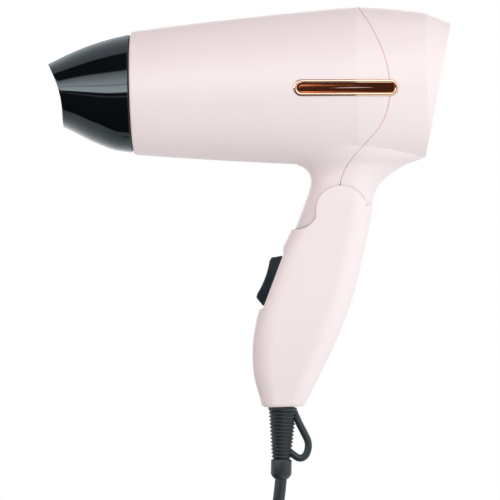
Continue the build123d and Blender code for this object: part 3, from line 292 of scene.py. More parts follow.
pink_satin = moulded(
    "pink_satin", colour(0.80, 0.728, 0.732), colour(0.83, 0.765, 0.77), (0.34, 0.46), 0.35, 0.004
)
# Painted shade: the seam's deep rose and the hinge's deeper pink stand for the shade in those narrow gaps.
seam_painted_shade = moulded(
    "seam_painted_shade", colour(0.66, 0.25, 0.25), colour(0.72, 0.29, 0.29), (0.45, 0.60), 0.35, 0.004
)
hinge_painted_shade = moulded(
    "hinge_painted_shade", colour(0.84, 0.66, 0.66), colour(0.88, 0.70, 0.70), (0.45, 0.60), 0.35, 0.004
)
# Both black finishes take the cool tint, a painted blue cast on their reflections.
black_gloss = moulded(
    "black_gloss", colour(0.002, 0.003, 0.004), colour(0.004, 0.005, 0.006), (0.05, 0.09), 2.5, 0.001,
    coat=1.0, specular=0.7, tint=PAINTED_COOL_GLOSS_TINT,
)
black_satin = moulded(
    "black_satin", colour(0.003, 0.005, 0.008), colour(0.006, 0.009, 0.013), (0.05, 0.50), 9.0, 0.001,
    specular=0.6, tint=PAINTED_COOL_GLOSS_TINT,
)
black_matte = moulded(
    "black_matte", colour(0.012, 0.013, 0.014), colour(0.020, 0.021, 0.023), (0.45, 0.60), 0.30, 0.012
)
charcoal_rubber = moulded(
    "charcoal_rubber", colour(0.011, 0.019, 0.025), colour(0.019, 0.030, 0.038), (0.32, 0.42), 0.25, 0.008,
    specular=0.45,
)
cream_plastic = moulded(
    "cream_plastic", colour(0.66, 0.64, 0.58), colour(0.74, 0.72, 0.67), (0.40, 0.55), 0.30, 0.006
)
brown_phenolic = moulded(
    "brown_phenolic", colour(0.10, 0.050, 0.026), colour(0.18, 0.095, 0.05), (0.35, 0.50), 0.40, 0.006, 220.0
)
wire_sleeve = moulded(
    "wire_sleeve", colour(0.68, 0.67, 0.63), colour(0.76, 0.75, 0.71), (0.45, 0.60), 0.20, 0.004
)
print("moulded finishes:", [item.name for item in bpy.data.materials if item.users == 0])

# %% [markdown]
# Rolled and drawn metal carries fine lines in the direction in which it was worked. Noise stretched along
# one axis gives them and feeds roughness and a shallow bump, while a softer noise lets the colour drift.

# %% Metals
DRAWN_ALONG_X = (0.05, 1.0, 1.0)
SMEAR_SCALE = 90.0


def metal(name, deep, light, gloss, lines, relief):
    """Worked metal: two close colours, a range of roughness, and lines of a size (mm) and relief (mm)."""
    material = bpy.data.materials.new(name)
    tree = new_tree(material)
    place = tree.node("ShaderNodeTexCoord", output="Object")
    drawn = tree.node("ShaderNodeMapping", {"Vector": place, "Scale": DRAWN_ALONG_X})
    fine = {"Vector": drawn, "Scale": 1 / (lines * MM), "Detail": 4.0}
    scratch = tree.node("ShaderNodeTexNoise", fine, "Fac")
    smear = tree.node("ShaderNodeTexNoise", {"Vector": place, "Scale": SMEAR_SCALE, "Detail": 2.0}, "Fac")
    body = tree.node("ShaderNodeMix", {0: smear, 6: deep, 7: light}, 2, data_type="RGBA")
    lined = {"Height": scratch, "Strength": 1.0, "Distance": relief * MM}
    bump = tree.node("ShaderNodeBump", lined, "Normal")
    surface = tree.node(
        "ShaderNodeBsdfPrincipled",
        {
            "Base Color": body,
            "Metallic": 1.0,
            "Roughness": gloss[0] + (gloss[1] - gloss[0]) * (0.5 * scratch + 0.5 * smear),
            "Normal": bump,
        },
    )
    tree.node("ShaderNodeOutputMaterial", {"Surface": surface})
    return material


rose_rim = metal(
    "rose_rim", colour(0.86, 0.54, 0.40), colour(0.92, 0.62, 0.48), (0.10, 0.16), 0.30, 0.0010
)
rose_band = metal(
    "rose_band", colour(0.50, 0.125, 0.045), colour(0.60, 0.17, 0.07), (0.08, 0.14), 0.30, 0.0008
)
plain_steel = metal(
    "plain_steel", colour(0.50, 0.50, 0.51), colour(0.60, 0.60, 0.61), (0.22, 0.38), 0.40, 0.0040
)
bright_brass = metal(
    "bright_brass", colour(0.72, 0.53, 0.23), colour(0.80, 0.61, 0.30), (0.16, 0.28), 0.30, 0.0020
)
print("metal finishes ready")

# %% [markdown]
# Inside are sheets: mica that carries the heater, and a lacquered board. Both are pressed from flakes, so
# the cells of a Voronoi pattern, each with a value of its own, fit better than smooth noise. The tie is
# flat webbing, and two waves that cross give its ribs.

# %% Boards, mica and the tie's webbing
FLAKE_RELIEF = 0.02
WEAVE_RELIEF = 0.12


def layered(name, deep, light, flakes, gloss):
    """Sheet of pressed flakes, cell by cell slightly different in colour and gloss."""
    material = bpy.data.materials.new(name)
    tree = new_tree(material)
    place = tree.node("ShaderNodeTexCoord", output="Object")
    cells = tree.node("ShaderNodeTexVoronoi", {"Vector": place, "Scale": 1 / (flakes * MM)}, "Color")
    flake = tree.node("ShaderNodeSeparateColor", {"Color": cells}, "Red")
    body = tree.node("ShaderNodeMix", {0: flake, 6: deep, 7: light}, 2, data_type="RGBA")
    pressed = {"Height": flake, "Strength": 0.5, "Distance": FLAKE_RELIEF * MM}
    bump = tree.node("ShaderNodeBump", pressed, "Normal")
    surface = tree.node(
        "ShaderNodeBsdfPrincipled",
        {"Base Color": body, "Roughness": gloss[0] + (gloss[1] - gloss[0]) * flake, "Normal": bump},
    )
    tree.node("ShaderNodeOutputMaterial", {"Surface": surface})
    return material


def woven(name, deep, light, pitch):
    """Flat webbing: ribs of one pitch (mm) in two directions that cross."""
    material = bpy.data.materials.new(name)
    tree = new_tree(material)
    place = tree.node("ShaderNodeTexCoord", output="Object")
    ribs = {"Vector": place, "Scale": TURN / (20 * pitch * MM), "Distortion": 0.4, "Detail": 1.0}
    warp = tree.node("ShaderNodeTexWave", ribs, "Fac", bands_direction="Y")
    weft = tree.node("ShaderNodeTexWave", ribs, "Fac", bands_direction="DIAGONAL")
    cloth = 0.5 * warp + 0.5 * weft
    body = tree.node("ShaderNodeMix", {0: cloth, 6: deep, 7: light}, 2, data_type="RGBA")
    ribbed = {"Height": cloth, "Strength": 1.0, "Distance": WEAVE_RELIEF * MM}
    bump = tree.node("ShaderNodeBump", ribbed, "Normal")
    surface = tree.node(
        "ShaderNodeBsdfPrincipled", {"Base Color": body, "Roughness": 0.75 + 0.2 * cloth, "Normal": bump}
    )
    tree.node("ShaderNodeOutputMaterial", {"Surface": surface})
    return material


mica_sheet = layered("mica_sheet", colour(0.52, 0.45, 0.33), colour(0.68, 0.62, 0.50), 3.0, (0.25, 0.55))
lacquer_board = layered(
    "lacquer_board", colour(0.020, 0.13, 0.055), colour(0.035, 0.18, 0.08), 1.2, (0.18, 0.30)
)
black_webbing = woven("black_webbing", colour(0.010, 0.010, 0.011), colour(0.035, 0.035, 0.038), 0.9)
print("sheet finishes ready")

# %% [markdown]
# A part that stays as it came from the CAD only needs its finish. The record already says which slot each
# node takes, so one table from slot to finish dresses all of them. Only the rocker has a finish of its own
# and is named.

# %% Dress the CAD nodes
SLOT_FINISH = {
    "shell_pink": pink_satin,
    "trim_rose_gold": rose_rim,
    "nozzle_black": black_gloss,
    "dark_plastic": black_matte,
    "white_plastic": cream_plastic,
    "rubber_black": charcoal_rubber,
    "steel": plain_steel,
    "mica": mica_sheet,
    "brown_plastic": brown_phenolic,
    "green_board": lacquer_board,
    "brass": bright_brass,
    "wire_white": wire_sleeve,
}
node_slots = {row["node"]: row["material_slot"] for row in frame["record"]["subparts"]}
for name, node in frame["nodes"].items():
    node.data.materials.clear()
    node.data.materials.append(SLOT_FINISH[node_slots[name]])
frame["nodes"]["rocker_button"].data.materials[0] = black_satin
print("dressed:", len(node_slots), "nodes")

# %% [markdown]
# Several parts are round or oval all along, so one helper builds them: it joins a row of closed rings
# into a skin. Rings can be capped at both ends, or closed on themselves when the skin turns back inside,
# as a hollow nozzle does.

# %% Skins from rings
def skin(name, rings, body, finish, closed=False, sharp=35.0):
    """Mesh piece from rings of points (mm) with the same count, riding on a body."""
    made = bmesh.new()
    rows = [[made.verts.new(Vector(point) * MM) for point in ring] for ring in rings]
    pairs = list(zip(rows, rows[1:]))
    if closed:
        pairs.append((rows[-1], rows[0]))
    else:
        made.faces.new(rows[0])
        made.faces.new(rows[-1])
    for first, second in pairs:
        count = len(first)
        for index in range(count):
            after = (index + 1) % count
            made.faces.new((first[index], first[after], second[after], second[index]))
    bmesh.ops.recalc_face_normals(made, faces=made.faces)
    return piece(name, made, body, [finish], sharp)


def piece(name, made, body, finishes, sharp=35.0):
    """Object from a finished bmesh: smooth, with edges sharper than an angle (degrees) kept crisp."""
    mesh = bpy.data.meshes.new(name)
    made.to_mesh(mesh)
    made.free()
    for finish in finishes:
        mesh.materials.append(finish)
    mesh.shade_smooth()
    mesh.set_sharp_from_angle(angle=math.radians(sharp))
    obj = bpy.data.objects.new(name, mesh)
    scene.collection.objects.link(obj)
    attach(obj, body)
    return obj


def smooth_between(rows, at, column):
    """Value of a table's column at a place in its first column, on a smooth curve through the rows."""
    last = len(rows) - 1
    index = max(i for i in range(last) if i == 0 or rows[i][0] <= at)
    slopes = []
    for row in (index, index + 1):
        low, high = max(row - 1, 0), min(row + 1, last)
        slopes.append((rows[high][column] - rows[low][column]) / (rows[high][0] - rows[low][0]))
    span = rows[index + 1][0] - rows[index][0]
    part = (at - rows[index][0]) / span
    start, end = rows[index][column], rows[index + 1][column]
    return (
        start * (1 + 2 * part) * (1 - part) ** 2
        + end * part**2 * (3 - 2 * part)
        + span * part * (1 - part) * (slopes[0] * (1 - part) - slopes[1] * part)
    )


print("mesh helpers ready")

# %% [markdown]
# The concentrator nozzle flattens a round outlet into a wide slot. Its lip is hollowed and slanted, so
# the slot's edge is not one flat ring. Each meridian of the skin therefore stops where it meets the
# hollow, a wide cylinder lying across the mouth, and then rolls over the lip's thickness and runs back
# inside to the bore that sits on the collar.

# %% Concentrator nozzle
AXIS_Z = 113.5
FRONT_X = -86.1
NOZZLE_SECTIONS = [
    (0.4, 31.3, 31.3, 0.0),
    (11.0, 30.3, 29.2, -0.1),
    (22.0, 28.9, 25.4, 0.7),
    (33.0, 27.6, 20.4, 1.6),
    (46.0, 27.0, 14.2, 2.0),
]
NOZZLE_WALL = 1.8
NOZZLE_BORE_DEPTH = 8.6
NOZZLE_BORE_R = 28.0
NOZZLE_STEP_R = 26.95
MOUTH_TILT = math.radians(11.7)
MOUTH_R = 39.5
MOUTH_SAG = 3.4
MOUTH_X = -125.77
MOUTH_Z = AXIS_Z - 0.57
ROUND_COUNT = 144

mouth_reach = MOUTH_R - MOUTH_SAG
mouth_middle = Vector(
    (MOUTH_X - mouth_reach * math.cos(MOUTH_TILT), 0, MOUTH_Z - mouth_reach * math.sin(MOUTH_TILT))
)
angles = [TURN * index / ROUND_COUNT for index in range(ROUND_COUNT)]


def nozzle_point(ahead, angle, inset):
    """Point of the nozzle's outside, or of its inside when drawn in."""
    half_width = smooth_between(NOZZLE_SECTIONS, ahead, 1) - inset
    half_height = smooth_between(NOZZLE_SECTIONS, ahead, 2) - inset
    rise = smooth_between(NOZZLE_SECTIONS, ahead, 3)
    height = AXIS_Z + rise + half_height * math.sin(angle)
    return Vector((FRONT_X - ahead, half_width * math.cos(angle), height))


MOUTH_SEARCH = (30.0, 46.0)
MOUTH_HALVINGS = 40


def mouth_ahead(angle, inset):
    """Distance in front of the shell at which one meridian meets the hollow of the mouth."""
    low, high = MOUTH_SEARCH
    for _ in range(MOUTH_HALVINGS):
        middle = (low + high) / 2
        place = nozzle_point(middle, angle, inset) - mouth_middle
        if math.hypot(place.x, place.z) > MOUTH_R:
            low = middle
        else:
            high = middle
    return low


LIP_ROUND = 0.5
outer_ends = [mouth_ahead(angle, 0.0) - LIP_ROUND for angle in angles]
inner_ends = [mouth_ahead(angle, NOZZLE_WALL) - LIP_ROUND for angle in angles]
rear_ahead = NOZZLE_SECTIONS[0][0]


def meridian_ring(part, start, ends, inset):
    """Ring across the nozzle at one share of the way from a start to each meridian's end."""
    return [nozzle_point(start + part * (end - start), angle, inset) for angle, end in zip(angles, ends)]


def lip_ring(turn):
    """Ring on the rolled lip, from the outside at 0 to the inside at 1."""
    ring = []
    for angle, outer_end, inner_end in zip(angles, outer_ends, inner_ends):
        outer = nozzle_point(outer_end, angle, 0.0)
        inner = nozzle_point(inner_end, angle, NOZZLE_WALL)
        across = outer.lerp(inner, 0.5 - 0.5 * math.cos(math.pi * turn))
        ring.append(across + Vector((-LIP_ROUND * math.sin(math.pi * turn), 0, 0)))
    return ring


def round_ring(ahead, radius):
    """Plain round ring in front of the shell."""
    return [Vector((FRONT_X - ahead, radius * math.cos(a), AXIS_Z + radius * math.sin(a))) for a in angles]


EDGE_ROUND = 0.5
BORE_SHOULDER = 2
OUTER_ROWS = 40
LIP_STEPS = 6
INNER_ROWS = 20
outer_start = rear_ahead + EDGE_ROUND
inner_start = NOZZLE_BORE_DEPTH + BORE_SHOULDER
rings = [round_ring(rear_ahead, NOZZLE_SECTIONS[0][1] - EDGE_ROUND)]
for row in range(OUTER_ROWS + 1):
    rings.append(meridian_ring(row / OUTER_ROWS, outer_start, outer_ends, 0.0))
for step in range(1, LIP_STEPS):
    rings.append(lip_ring(step / LIP_STEPS))
for row in range(INNER_ROWS + 1):
    rings.append(meridian_ring(1 - row / INNER_ROWS, inner_start, inner_ends, NOZZLE_WALL))
rings += [round_ring(NOZZLE_BORE_DEPTH, NOZZLE_STEP_R), round_ring(NOZZLE_BORE_DEPTH, NOZZLE_BORE_R)]
rings += [round_ring(rear_ahead, NOZZLE_BORE_R)]
nozzle = skin("concentrator_skin", rings, "nozzle", black_gloss, closed=True)
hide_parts("concentrator_nozzle")
print("nozzle:", len(nozzle.data.polygons), "faces")

# %% [markdown]
# The trim is a plated strip let into the side of the barrel: a bright raised rim around a darker sunk
# band. It follows the curve of the barrel, so its outline is drawn in the side view, shrunk ring by ring,
# and each point is then pushed out to the barrel's radius there plus the height of the strip's profile at
# that distance from its edge.

# %% Trim strips
FRONT_R = 32.1
CREST_X = 31.2
CREST_R = 41.4
FRONT_SAG = 0.75
BREAK_X = 67.0
BREAK_R = 37.3
REAR_SAG = 0.5
TRIM_X = 25.3
TRIM_Z = 111.65
TRIM_LENGTH = 53.7
TRIM_HEIGHT = 8.5
TRIM_TILT = math.radians(-1.6)
TRIM_PROFILE = [
    (0.0, -0.75),
    (0.0, 0.10),
    (0.12, 0.32),
    (0.32, 0.48),
    (0.58, 0.57),
    (0.84, 0.60),
    (1.10, 0.57),
    (1.36, 0.48),
    (1.56, 0.32),
    (1.70, 0.10),
]
BAND_PROFILE = [(1.9, 0.05), (2.9, 0.05), (3.9, 0.05)]
ARC_STEPS = 24
RUN_STEPS = 30


def arc_radius(x, start, end, sag):
    """Height of an arc from start to end that rises by sag above its chord."""
    (x0, r0), (x1, r1) = start, end
    chord = math.hypot(x1 - x0, r1 - r0)
    arc_r = (chord**2 / 4 + sag**2) / (2 * sag)
    middle_x = (x0 + x1) / 2 - (r1 - r0) / chord * (sag - arc_r)
    middle_r = (r0 + r1) / 2 + (x1 - x0) / chord * (sag - arc_r)
    return middle_r + math.sqrt(arc_r**2 - (x - middle_x) ** 2)


def barrel_radius(x):
    """Outer radius of the barrel at x."""
    if x < CREST_X:
        return arc_radius(x, (FRONT_X, FRONT_R), (CREST_X, CREST_R), FRONT_SAG)
    return arc_radius(x, (CREST_X, CREST_R), (BREAK_X, BREAK_R), REAR_SAG)


def strip_outline(inset):
    """Long oval of the strip in its own plane, drawn in by inset: an arc, a run, an arc and a run."""
    end_r = TRIM_HEIGHT / 2 - inset
    half_run = (TRIM_LENGTH - TRIM_HEIGHT) / 2
    points = []
    for side in (1, -1):
        for step in range(ARC_STEPS + 1):
            turn = side * (math.pi / 2) - math.pi * step / ARC_STEPS
            points.append((side * half_run + end_r * math.cos(turn), end_r * math.sin(turn)))
        for step in range(1, RUN_STEPS):
            points.append((side * half_run * (1 - 2 * step / RUN_STEPS), -side * end_r))
    return points


def on_barrel(along, up, height, side):
    """Point of the strip on one side of the barrel, at a height over the barrel's skin."""
    x = TRIM_X + along * math.cos(TRIM_TILT) - up * math.sin(TRIM_TILT)
    z = TRIM_Z + along * math.sin(TRIM_TILT) + up * math.cos(TRIM_TILT)
    drop = z - AXIS_Z
    return Vector((x, side * math.sqrt((barrel_radius(x) + height) ** 2 - drop**2), z))


def trim_strip(name, node, side):
    """One strip: rim and band as two finishes on one mesh."""
    made = bmesh.new()
    rows = []
    for inset, height in TRIM_PROFILE + BAND_PROFILE:
        rows.append([made.verts.new(on_barrel(a, u, height, side) * MM) for a, u in strip_outline(inset)])
    count = len(rows[0])
    for row, (first, second) in enumerate(zip(rows, rows[1:])):
        for index in range(count):
            after = (index + 1) % count
            face = made.faces.new((first[index], first[after], second[after], second[index]))
            face.material_index = 0 if row < len(TRIM_PROFILE) - 1 else 1
    made.faces.new(rows[0])
    made.faces.new(rows[-1]).material_index = 1
    bmesh.ops.recalc_face_normals(made, faces=made.faces)
    strip = piece(name, made, "barrel", [rose_rim, rose_band], 40.0)
    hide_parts(node)
    return strip


for trim_name, trim_node in (("trim_rim_left", "trim_strip_left"), ("trim_rim_right", "trim_strip_right")):
    trim_low, trim_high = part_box(trim_node)
    strip = trim_strip(trim_name, trim_node, 1 if trim_low.y + trim_high.y > 0 else -1)
    print("trim:", strip.name, len(strip.data.polygons), "faces")

# %% [markdown]
# A thin strip is set in each gap between the mouldings, just below the skin: in the seam between the two
# shells, and around the hinge. Their colours are painted shade on top of the real shade in the gap: a deep
# rose that darkens the seam, and a deeper pink that gives the hinge a faint line. The CAD meshes show where
# these belong, because every wall at a gap runs straight across the dryer. So a thin strip is laid along
# the edges where such a wall meets the outer skin.

# %% Painted shade in the seam and at the hinge
SEAM_POINTS = [
    (62.0, 20.8),
    (70.7, 23.7),
    (81.2, 32.3),
    (93.5, 43.4),
    (112.5, 47.9),
    (137.7, 41.7),
    (160.0, 28.6),
]
SEAM_REACH = 1.2
PIVOT = (21.0, 49.1)
EAR_R = 13.6
TAIL = (-2.2, 51.6)
TAIL_R = 11.0
EDGE_REACH = 0.15
LIP_DEPTH = 0.2
LIP_HEIGHT = 0.8
LIP_WIDTH = 0.32
WELD_REACH = 0.001
WALL_SLOPE = 0.01
SKIN_SLOPE = 0.05


def near_seam(x, z):
    """Whether a place in the side view (mm) is at the seam between the two shells."""
    return z > SEAM_POINTS[0][0] and abs(x - smooth_between(SEAM_POINTS, z, 1)) < SEAM_REACH


def near_hinge(x, z):
    """Whether a place in the side view (mm) is on the neck's edge at the ear or at the handle's tail."""
    at_ear = abs(math.dist((x, z), PIVOT) - EAR_R) < EDGE_REACH
    return at_ear or abs(math.dist((x, z), TAIL) - TAIL_R) < EDGE_REACH


def lip(name, nodes, near, finish):
    """Strip along the outer edges of the walls at a gap, set a little below the skin."""
    made = bmesh.new()
    for node in nodes:
        shell = bmesh.new()
        shell.from_mesh(frame["nodes"][node].data)
        shell.transform(frame["nodes"][node].matrix_world)
        bmesh.ops.remove_doubles(shell, verts=shell.verts, dist=WELD_REACH * MM)
        shell.normal_update()
        edges = []
        facing = {}
        for edge in shell.edges:
            middle = (edge.verts[0].co + edge.verts[1].co) / (2 * MM)
            walls = [face for face in edge.link_faces if abs(face.normal.y) < WALL_SLOPE]
            outwards = SKIN_SLOPE * abs(middle.y)
            skins = [face for face in edge.link_faces if face.normal.y * middle.y > outwards]
            if len(walls) == 1 and len(skins) == 1 and near(middle.x, middle.z):
                edges.append(edge)
                for vert in edge.verts:
                    facing.setdefault(vert, []).append(walls[0].normal)
        corners = {}
        for vert, normals in facing.items():
            across = sum(normals, Vector()).normalized() * (LIP_WIDTH * MM)
            inwards = Vector((0, -math.copysign(MM, vert.co.y), 0))
            high = vert.co + inwards * LIP_DEPTH
            low = high + inwards * LIP_HEIGHT
            corners[vert] = [made.verts.new(place) for place in (high, low, low + across, high + across)]
            if len(normals) == 1:
                made.faces.new(corners[vert])
        for edge in edges:
            first, second = corners[edge.verts[0]], corners[edge.verts[1]]
            for index in range(4):
                after = (index + 1) % 4
                made.faces.new((first[index], first[after], second[after], second[index]))
        shell.free()
    bmesh.ops.recalc_face_normals(made, faces=made.faces)
    return piece(name, made, "barrel", [finish])


bpy.context.view_layer.update()
# Both strips carry painted shade in their colour, which darkens the seam and lines the hinge.
for bar in (
    lip("seam_shade_strip", ["front_shell"], near_seam, seam_painted_shade),
    lip("hinge_shade_strip", ["front_shell", "rear_shell"], near_hinge, hinge_painted_shade),
):
    print("lip:", bar.name, len(bar.data.polygons), "faces")

# %% [markdown]
# The strain relief is a soft sleeve that keeps the cord from kinking at the handle. Its ribs let it bend,
# and in the hand they feel rounded, so each rib is a small hump of a few rings, narrower from rib to rib
# down to a plain collar.

# %% Strain relief
RELIEF_FOOT = Vector((-12.6, 0.0, -51.6))
RELIEF_LEAN = math.radians(2.9)
RELIEF_RIBS = 13
RELIEF_RIB_START = 2.8
RELIEF_RIB_PITCH = 1.88
RELIEF_RIB_TOP_R = 7.2
RELIEF_RIB_END_R = 5.2
RELIEF_GROOVE = 0.8
RIB_HUMP = [
    (0.0, 0.85), (0.08, 0.40), (0.26, 0.08), (0.60, 0.0),
    (0.94, 0.08), (1.12, 0.40), (1.2, 0.85),
]
RELIEF_ROOT = [
    (-4.5, 4.0), (-4.5, 7.8), (-2.5, 7.8), (-2.5, 6.2), (0.4, 6.2),
    (0.4, 7.1), (0.6, 7.4), (1.0, 7.5), (1.5, 7.5), (1.8, 7.3),
]
RELIEF_COLLAR = [
    (27.4, 4.2), (27.4, 5.0), (27.6, 5.3), (28.0, 5.4), (34.9, 5.4),
    (35.6, 5.2), (36.6, 4.5), (37.4, 3.75), (37.6, 3.5), (37.6, 2.0),
]

relief_down = Vector((-math.sin(RELIEF_LEAN), 0, -math.cos(RELIEF_LEAN)))
relief_side = Vector((math.cos(RELIEF_LEAN), 0, -math.sin(RELIEF_LEAN)))
relief_back = Vector((0, 1, 0))


def relief_ring(down, radius, count=64):
    """Round ring about the relief's axis, at a distance below the handle."""
    middle = RELIEF_FOOT + relief_down * down
    turns = [TURN * index / count for index in range(count)]
    return [middle + (relief_side * math.cos(turn) + relief_back * math.sin(turn)) * radius for turn in turns]


relief_profile = list(RELIEF_ROOT)
for rib in range(RELIEF_RIBS):
    rib_r = RELIEF_RIB_TOP_R + (RELIEF_RIB_END_R - RELIEF_RIB_TOP_R) * rib / (RELIEF_RIBS - 1)
    rib_start = RELIEF_RIB_START + RELIEF_RIB_PITCH * rib
    relief_profile += [(rib_start + along, rib_r - RELIEF_GROOVE * drop) for along, drop in RIB_HUMP]
relief_profile += RELIEF_COLLAR
relief_rings = [relief_ring(*row) for row in relief_profile]
relief = skin("strain_relief_sleeve", relief_rings, "handle", charcoal_rubber, sharp=50.0)
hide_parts("strain_relief")
print("relief:", len(relief_profile), "rings")

# %% [markdown]
# The hang loop is moulded on as a bent bar. A round bevel along a smooth curve gives it, from the top
# rib, round a teardrop corner and back to the collar. The curve is then made a mesh, which shares one CAD
# node with the sleeve.

# %% Hang loop
LOOP_BAR_R = 1.9
LOOP_POINTS = [
    (-7.0, -54.0),
    (-4.6, -60.0),
    (-1.6, -66.0),
    (0.6, -71.0),
    (-0.6, -76.9),
    (-4.0, -79.3),
    (-8.0, -76.8),
    (-10.6, -74.2),
]
loop_curve = bpy.data.curves.new("hang_loop_bar", "CURVE")
loop_curve.dimensions = "3D"
loop_curve.bevel_depth = LOOP_BAR_R * MM
loop_curve.bevel_resolution = 6
loop_curve.use_fill_caps = True
loop_spline = loop_curve.splines.new("NURBS")
loop_spline.points.add(len(LOOP_POINTS) - 1)
for point, (x, z) in zip(loop_spline.points, LOOP_POINTS):
    point.co = (x * MM, 0.0, z * MM, 1.0)
loop_spline.order_u = 3
loop_spline.use_endpoint_u = True
loop_spline.resolution_u = 10
loop_curve.materials.append(charcoal_rubber)
loop_draft = bpy.data.objects.new("hang_loop_draft", loop_curve)
scene.collection.objects.link(loop_draft)
loop_mesh = bpy.data.meshes.new_from_object(loop_draft)
bpy.data.objects.remove(loop_draft)
loop_mesh.shade_smooth()
hang_loop = bpy.data.objects.new("hang_loop_bar", loop_mesh)
scene.collection.objects.link(hang_loop)
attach(hang_loop, "handle")
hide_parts("strain_relief")
print("hang loop:", len(loop_mesh.polygons), "faces")

# %% [markdown]
# The plug is one soft moulding over two pins: a thin ribbed tail, a swelling body and finger grooves to
# pull it by. Ovals along its length make the body, and a few ovals drawn in make each groove. The pins
# stay as they are in the CAD.

# %% Plug
PLUG_SECTIONS = [
    (0.0, 4.6, 4.6),
    (20.0, 6.6, 6.2),
    (30.0, 13.0, 9.0),
    (46.0, 18.0, 10.7),
    (56.0, 17.6, 10.4),
]
TAIL_GROOVES = [3.0 + 2.6 * index for index in range(6)]
GRIP_GROOVES = [36.0, 39.5, 43.0, 46.5]
TAIL_GROOVE_DEPTH, TAIL_GROOVE_WIDTH = 0.55, 0.55
GRIP_GROOVE_DEPTH, GRIP_GROOVE_WIDTH = 0.6, 0.7
PLUG_EDGE = 1.2
PLUG_ROOT = 0.3
PLUG_ROWS = 224
EDGE_STEPS = 6


def plug_draw(ahead):
    """Depth to which grooves draw the plug's skin in at a distance along it."""
    tail = sum(math.exp(-(((ahead - place) / TAIL_GROOVE_WIDTH) ** 2)) for place in TAIL_GROOVES)
    grip = sum(math.exp(-(((ahead - place) / GRIP_GROOVE_WIDTH) ** 2)) for place in GRIP_GROOVES)
    return TAIL_GROOVE_DEPTH * tail + GRIP_GROOVE_DEPTH * grip


def plug_ring(ahead, inset=0.0, count=72):
    """Squarish oval across the plug."""
    half_width = smooth_between(PLUG_SECTIONS, ahead, 1) - inset - plug_draw(ahead)
    half_height = smooth_between(PLUG_SECTIONS, ahead, 2) - inset - plug_draw(ahead)
    middle = plug_start + Vector((ahead, 0, 0))
    ring = []
    for index in range(count):
        turn = TURN * index / count
        ring.append(middle + Vector((0, half_width * math.cos(turn), half_height * math.sin(turn))))
    return ring


plug_length = PLUG_SECTIONS[-1][0]
plug_span = plug_length - PLUG_EDGE - PLUG_ROOT
plug_rings = [plug_ring(0.0, PLUG_EDGE)]
plug_rings += [plug_ring(PLUG_ROOT + plug_span * row / PLUG_ROWS) for row in range(PLUG_ROWS + 1)]
for step in range(1, EDGE_STEPS + 1):
    turn = math.pi / 2 * step / EDGE_STEPS
    ahead = plug_length - PLUG_EDGE * (1 - math.sin(turn))
    plug_rings.append(plug_ring(ahead, PLUG_EDGE * (1 - math.cos(turn))))
plug = skin("plug_moulding", plug_rings, "handle", charcoal_rubber, sharp=60.0)
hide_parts("plug_body")
print("plug:", len(plug_rings), "rings")

# %% [markdown]
# The tie is a short length of webbing wrapped once around the coil, with its end laid over its start. A
# strip swept around a rounded oblong gives the wrap; a second short strip on top is the overlapping tab.

# %% Cord tie
tie_low, tie_high = (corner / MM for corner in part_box("cord_tie"))
TIE_THICKNESS = 0.8
TIE_CORNER = 3.9
CORNER_STEPS = 8


def tie_outline(inset):
    """Rounded oblong of the wrap in the XZ plane, drawn in by inset."""
    corner = TIE_CORNER - inset
    points = []
    for quarter, (side_x, side_z) in enumerate(((1, 1), (-1, 1), (-1, -1), (1, -1))):
        x = tie_high.x if side_x > 0 else tie_low.x
        z = tie_high.z if side_z > 0 else tie_low.z
        centre = Vector((x - side_x * TIE_CORNER, 0, z - side_z * TIE_CORNER))
        for step in range(CORNER_STEPS + 1):
            turn = math.pi / 2 * (quarter + step / CORNER_STEPS)
            points.append(centre + Vector((math.cos(turn), 0, math.sin(turn))) * corner)
    return points


TIE_EDGE = 0.25
tie_middle = (tie_low.y + tie_high.y) / 2
tie_half = (tie_high.y - tie_low.y) / 2
tie_rows = [
    (0.0, tie_half - TIE_EDGE),
    (TIE_EDGE, tie_half),
    (TIE_THICKNESS - TIE_EDGE, tie_half),
    (TIE_THICKNESS, tie_half - TIE_EDGE),
]
tie_rows += [(inset, -across) for inset, across in reversed(tie_rows)]
tie_rings = []
for inset, across in tie_rows:
    shift = Vector((0, tie_middle + across, 0))
    tie_rings.append([point + shift for point in tie_outline(inset)])
tie = skin("cord_tie_wrap", tie_rings, "handle", black_webbing, closed=True)
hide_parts("cord_tie")
TIE_TAB = 9.0
TAB_RISE = [(0.0, 0.1), (0.4, 0.5), (TIE_TAB - 1.5, 0.7), (TIE_TAB - 0.3, 0.6), (TIE_TAB, 0.1)]
TAB_SINK = 0.1
TAB_BEVEL = 0.2
TAB_SHOULDER = 0.05
tab_start = (tie_low.x + tie_high.x - TIE_TAB) / 2
tab_edge = tie_half - TIE_EDGE
tab_rings = []
for along, lift in TAB_RISE:
    low, high = tie_high.z - TAB_SINK, tie_high.z + lift
    shoulder = high - TAB_SHOULDER
    square = [(-tab_edge, low), (tab_edge, low), (tab_edge, shoulder), (tab_edge - TAB_BEVEL, high)]
    square += [(TAB_BEVEL - tab_edge, high), (-tab_edge, shoulder)]
    tab_rings.append([Vector((tab_start + along, tie_middle + across, z)) for across, z in square])
tab = skin("cord_tie_tab", tab_rings, "handle", black_webbing)
print("tie:", len(tie.data.polygons), "faces and a tab of", TIE_TAB, "mm")

# %% [markdown]
# The cord takes the same charcoal rubber as the sleeve and the plug.

cord.data.materials.append(charcoal_rubber)

# %% [markdown]
# The studio is a white sweep. The lens, gloss and glass see plain white, while the light that reaches the
# dryer from all around is dimmer, a little warm and stronger towards one side, so that the barrel is
# shaded round.

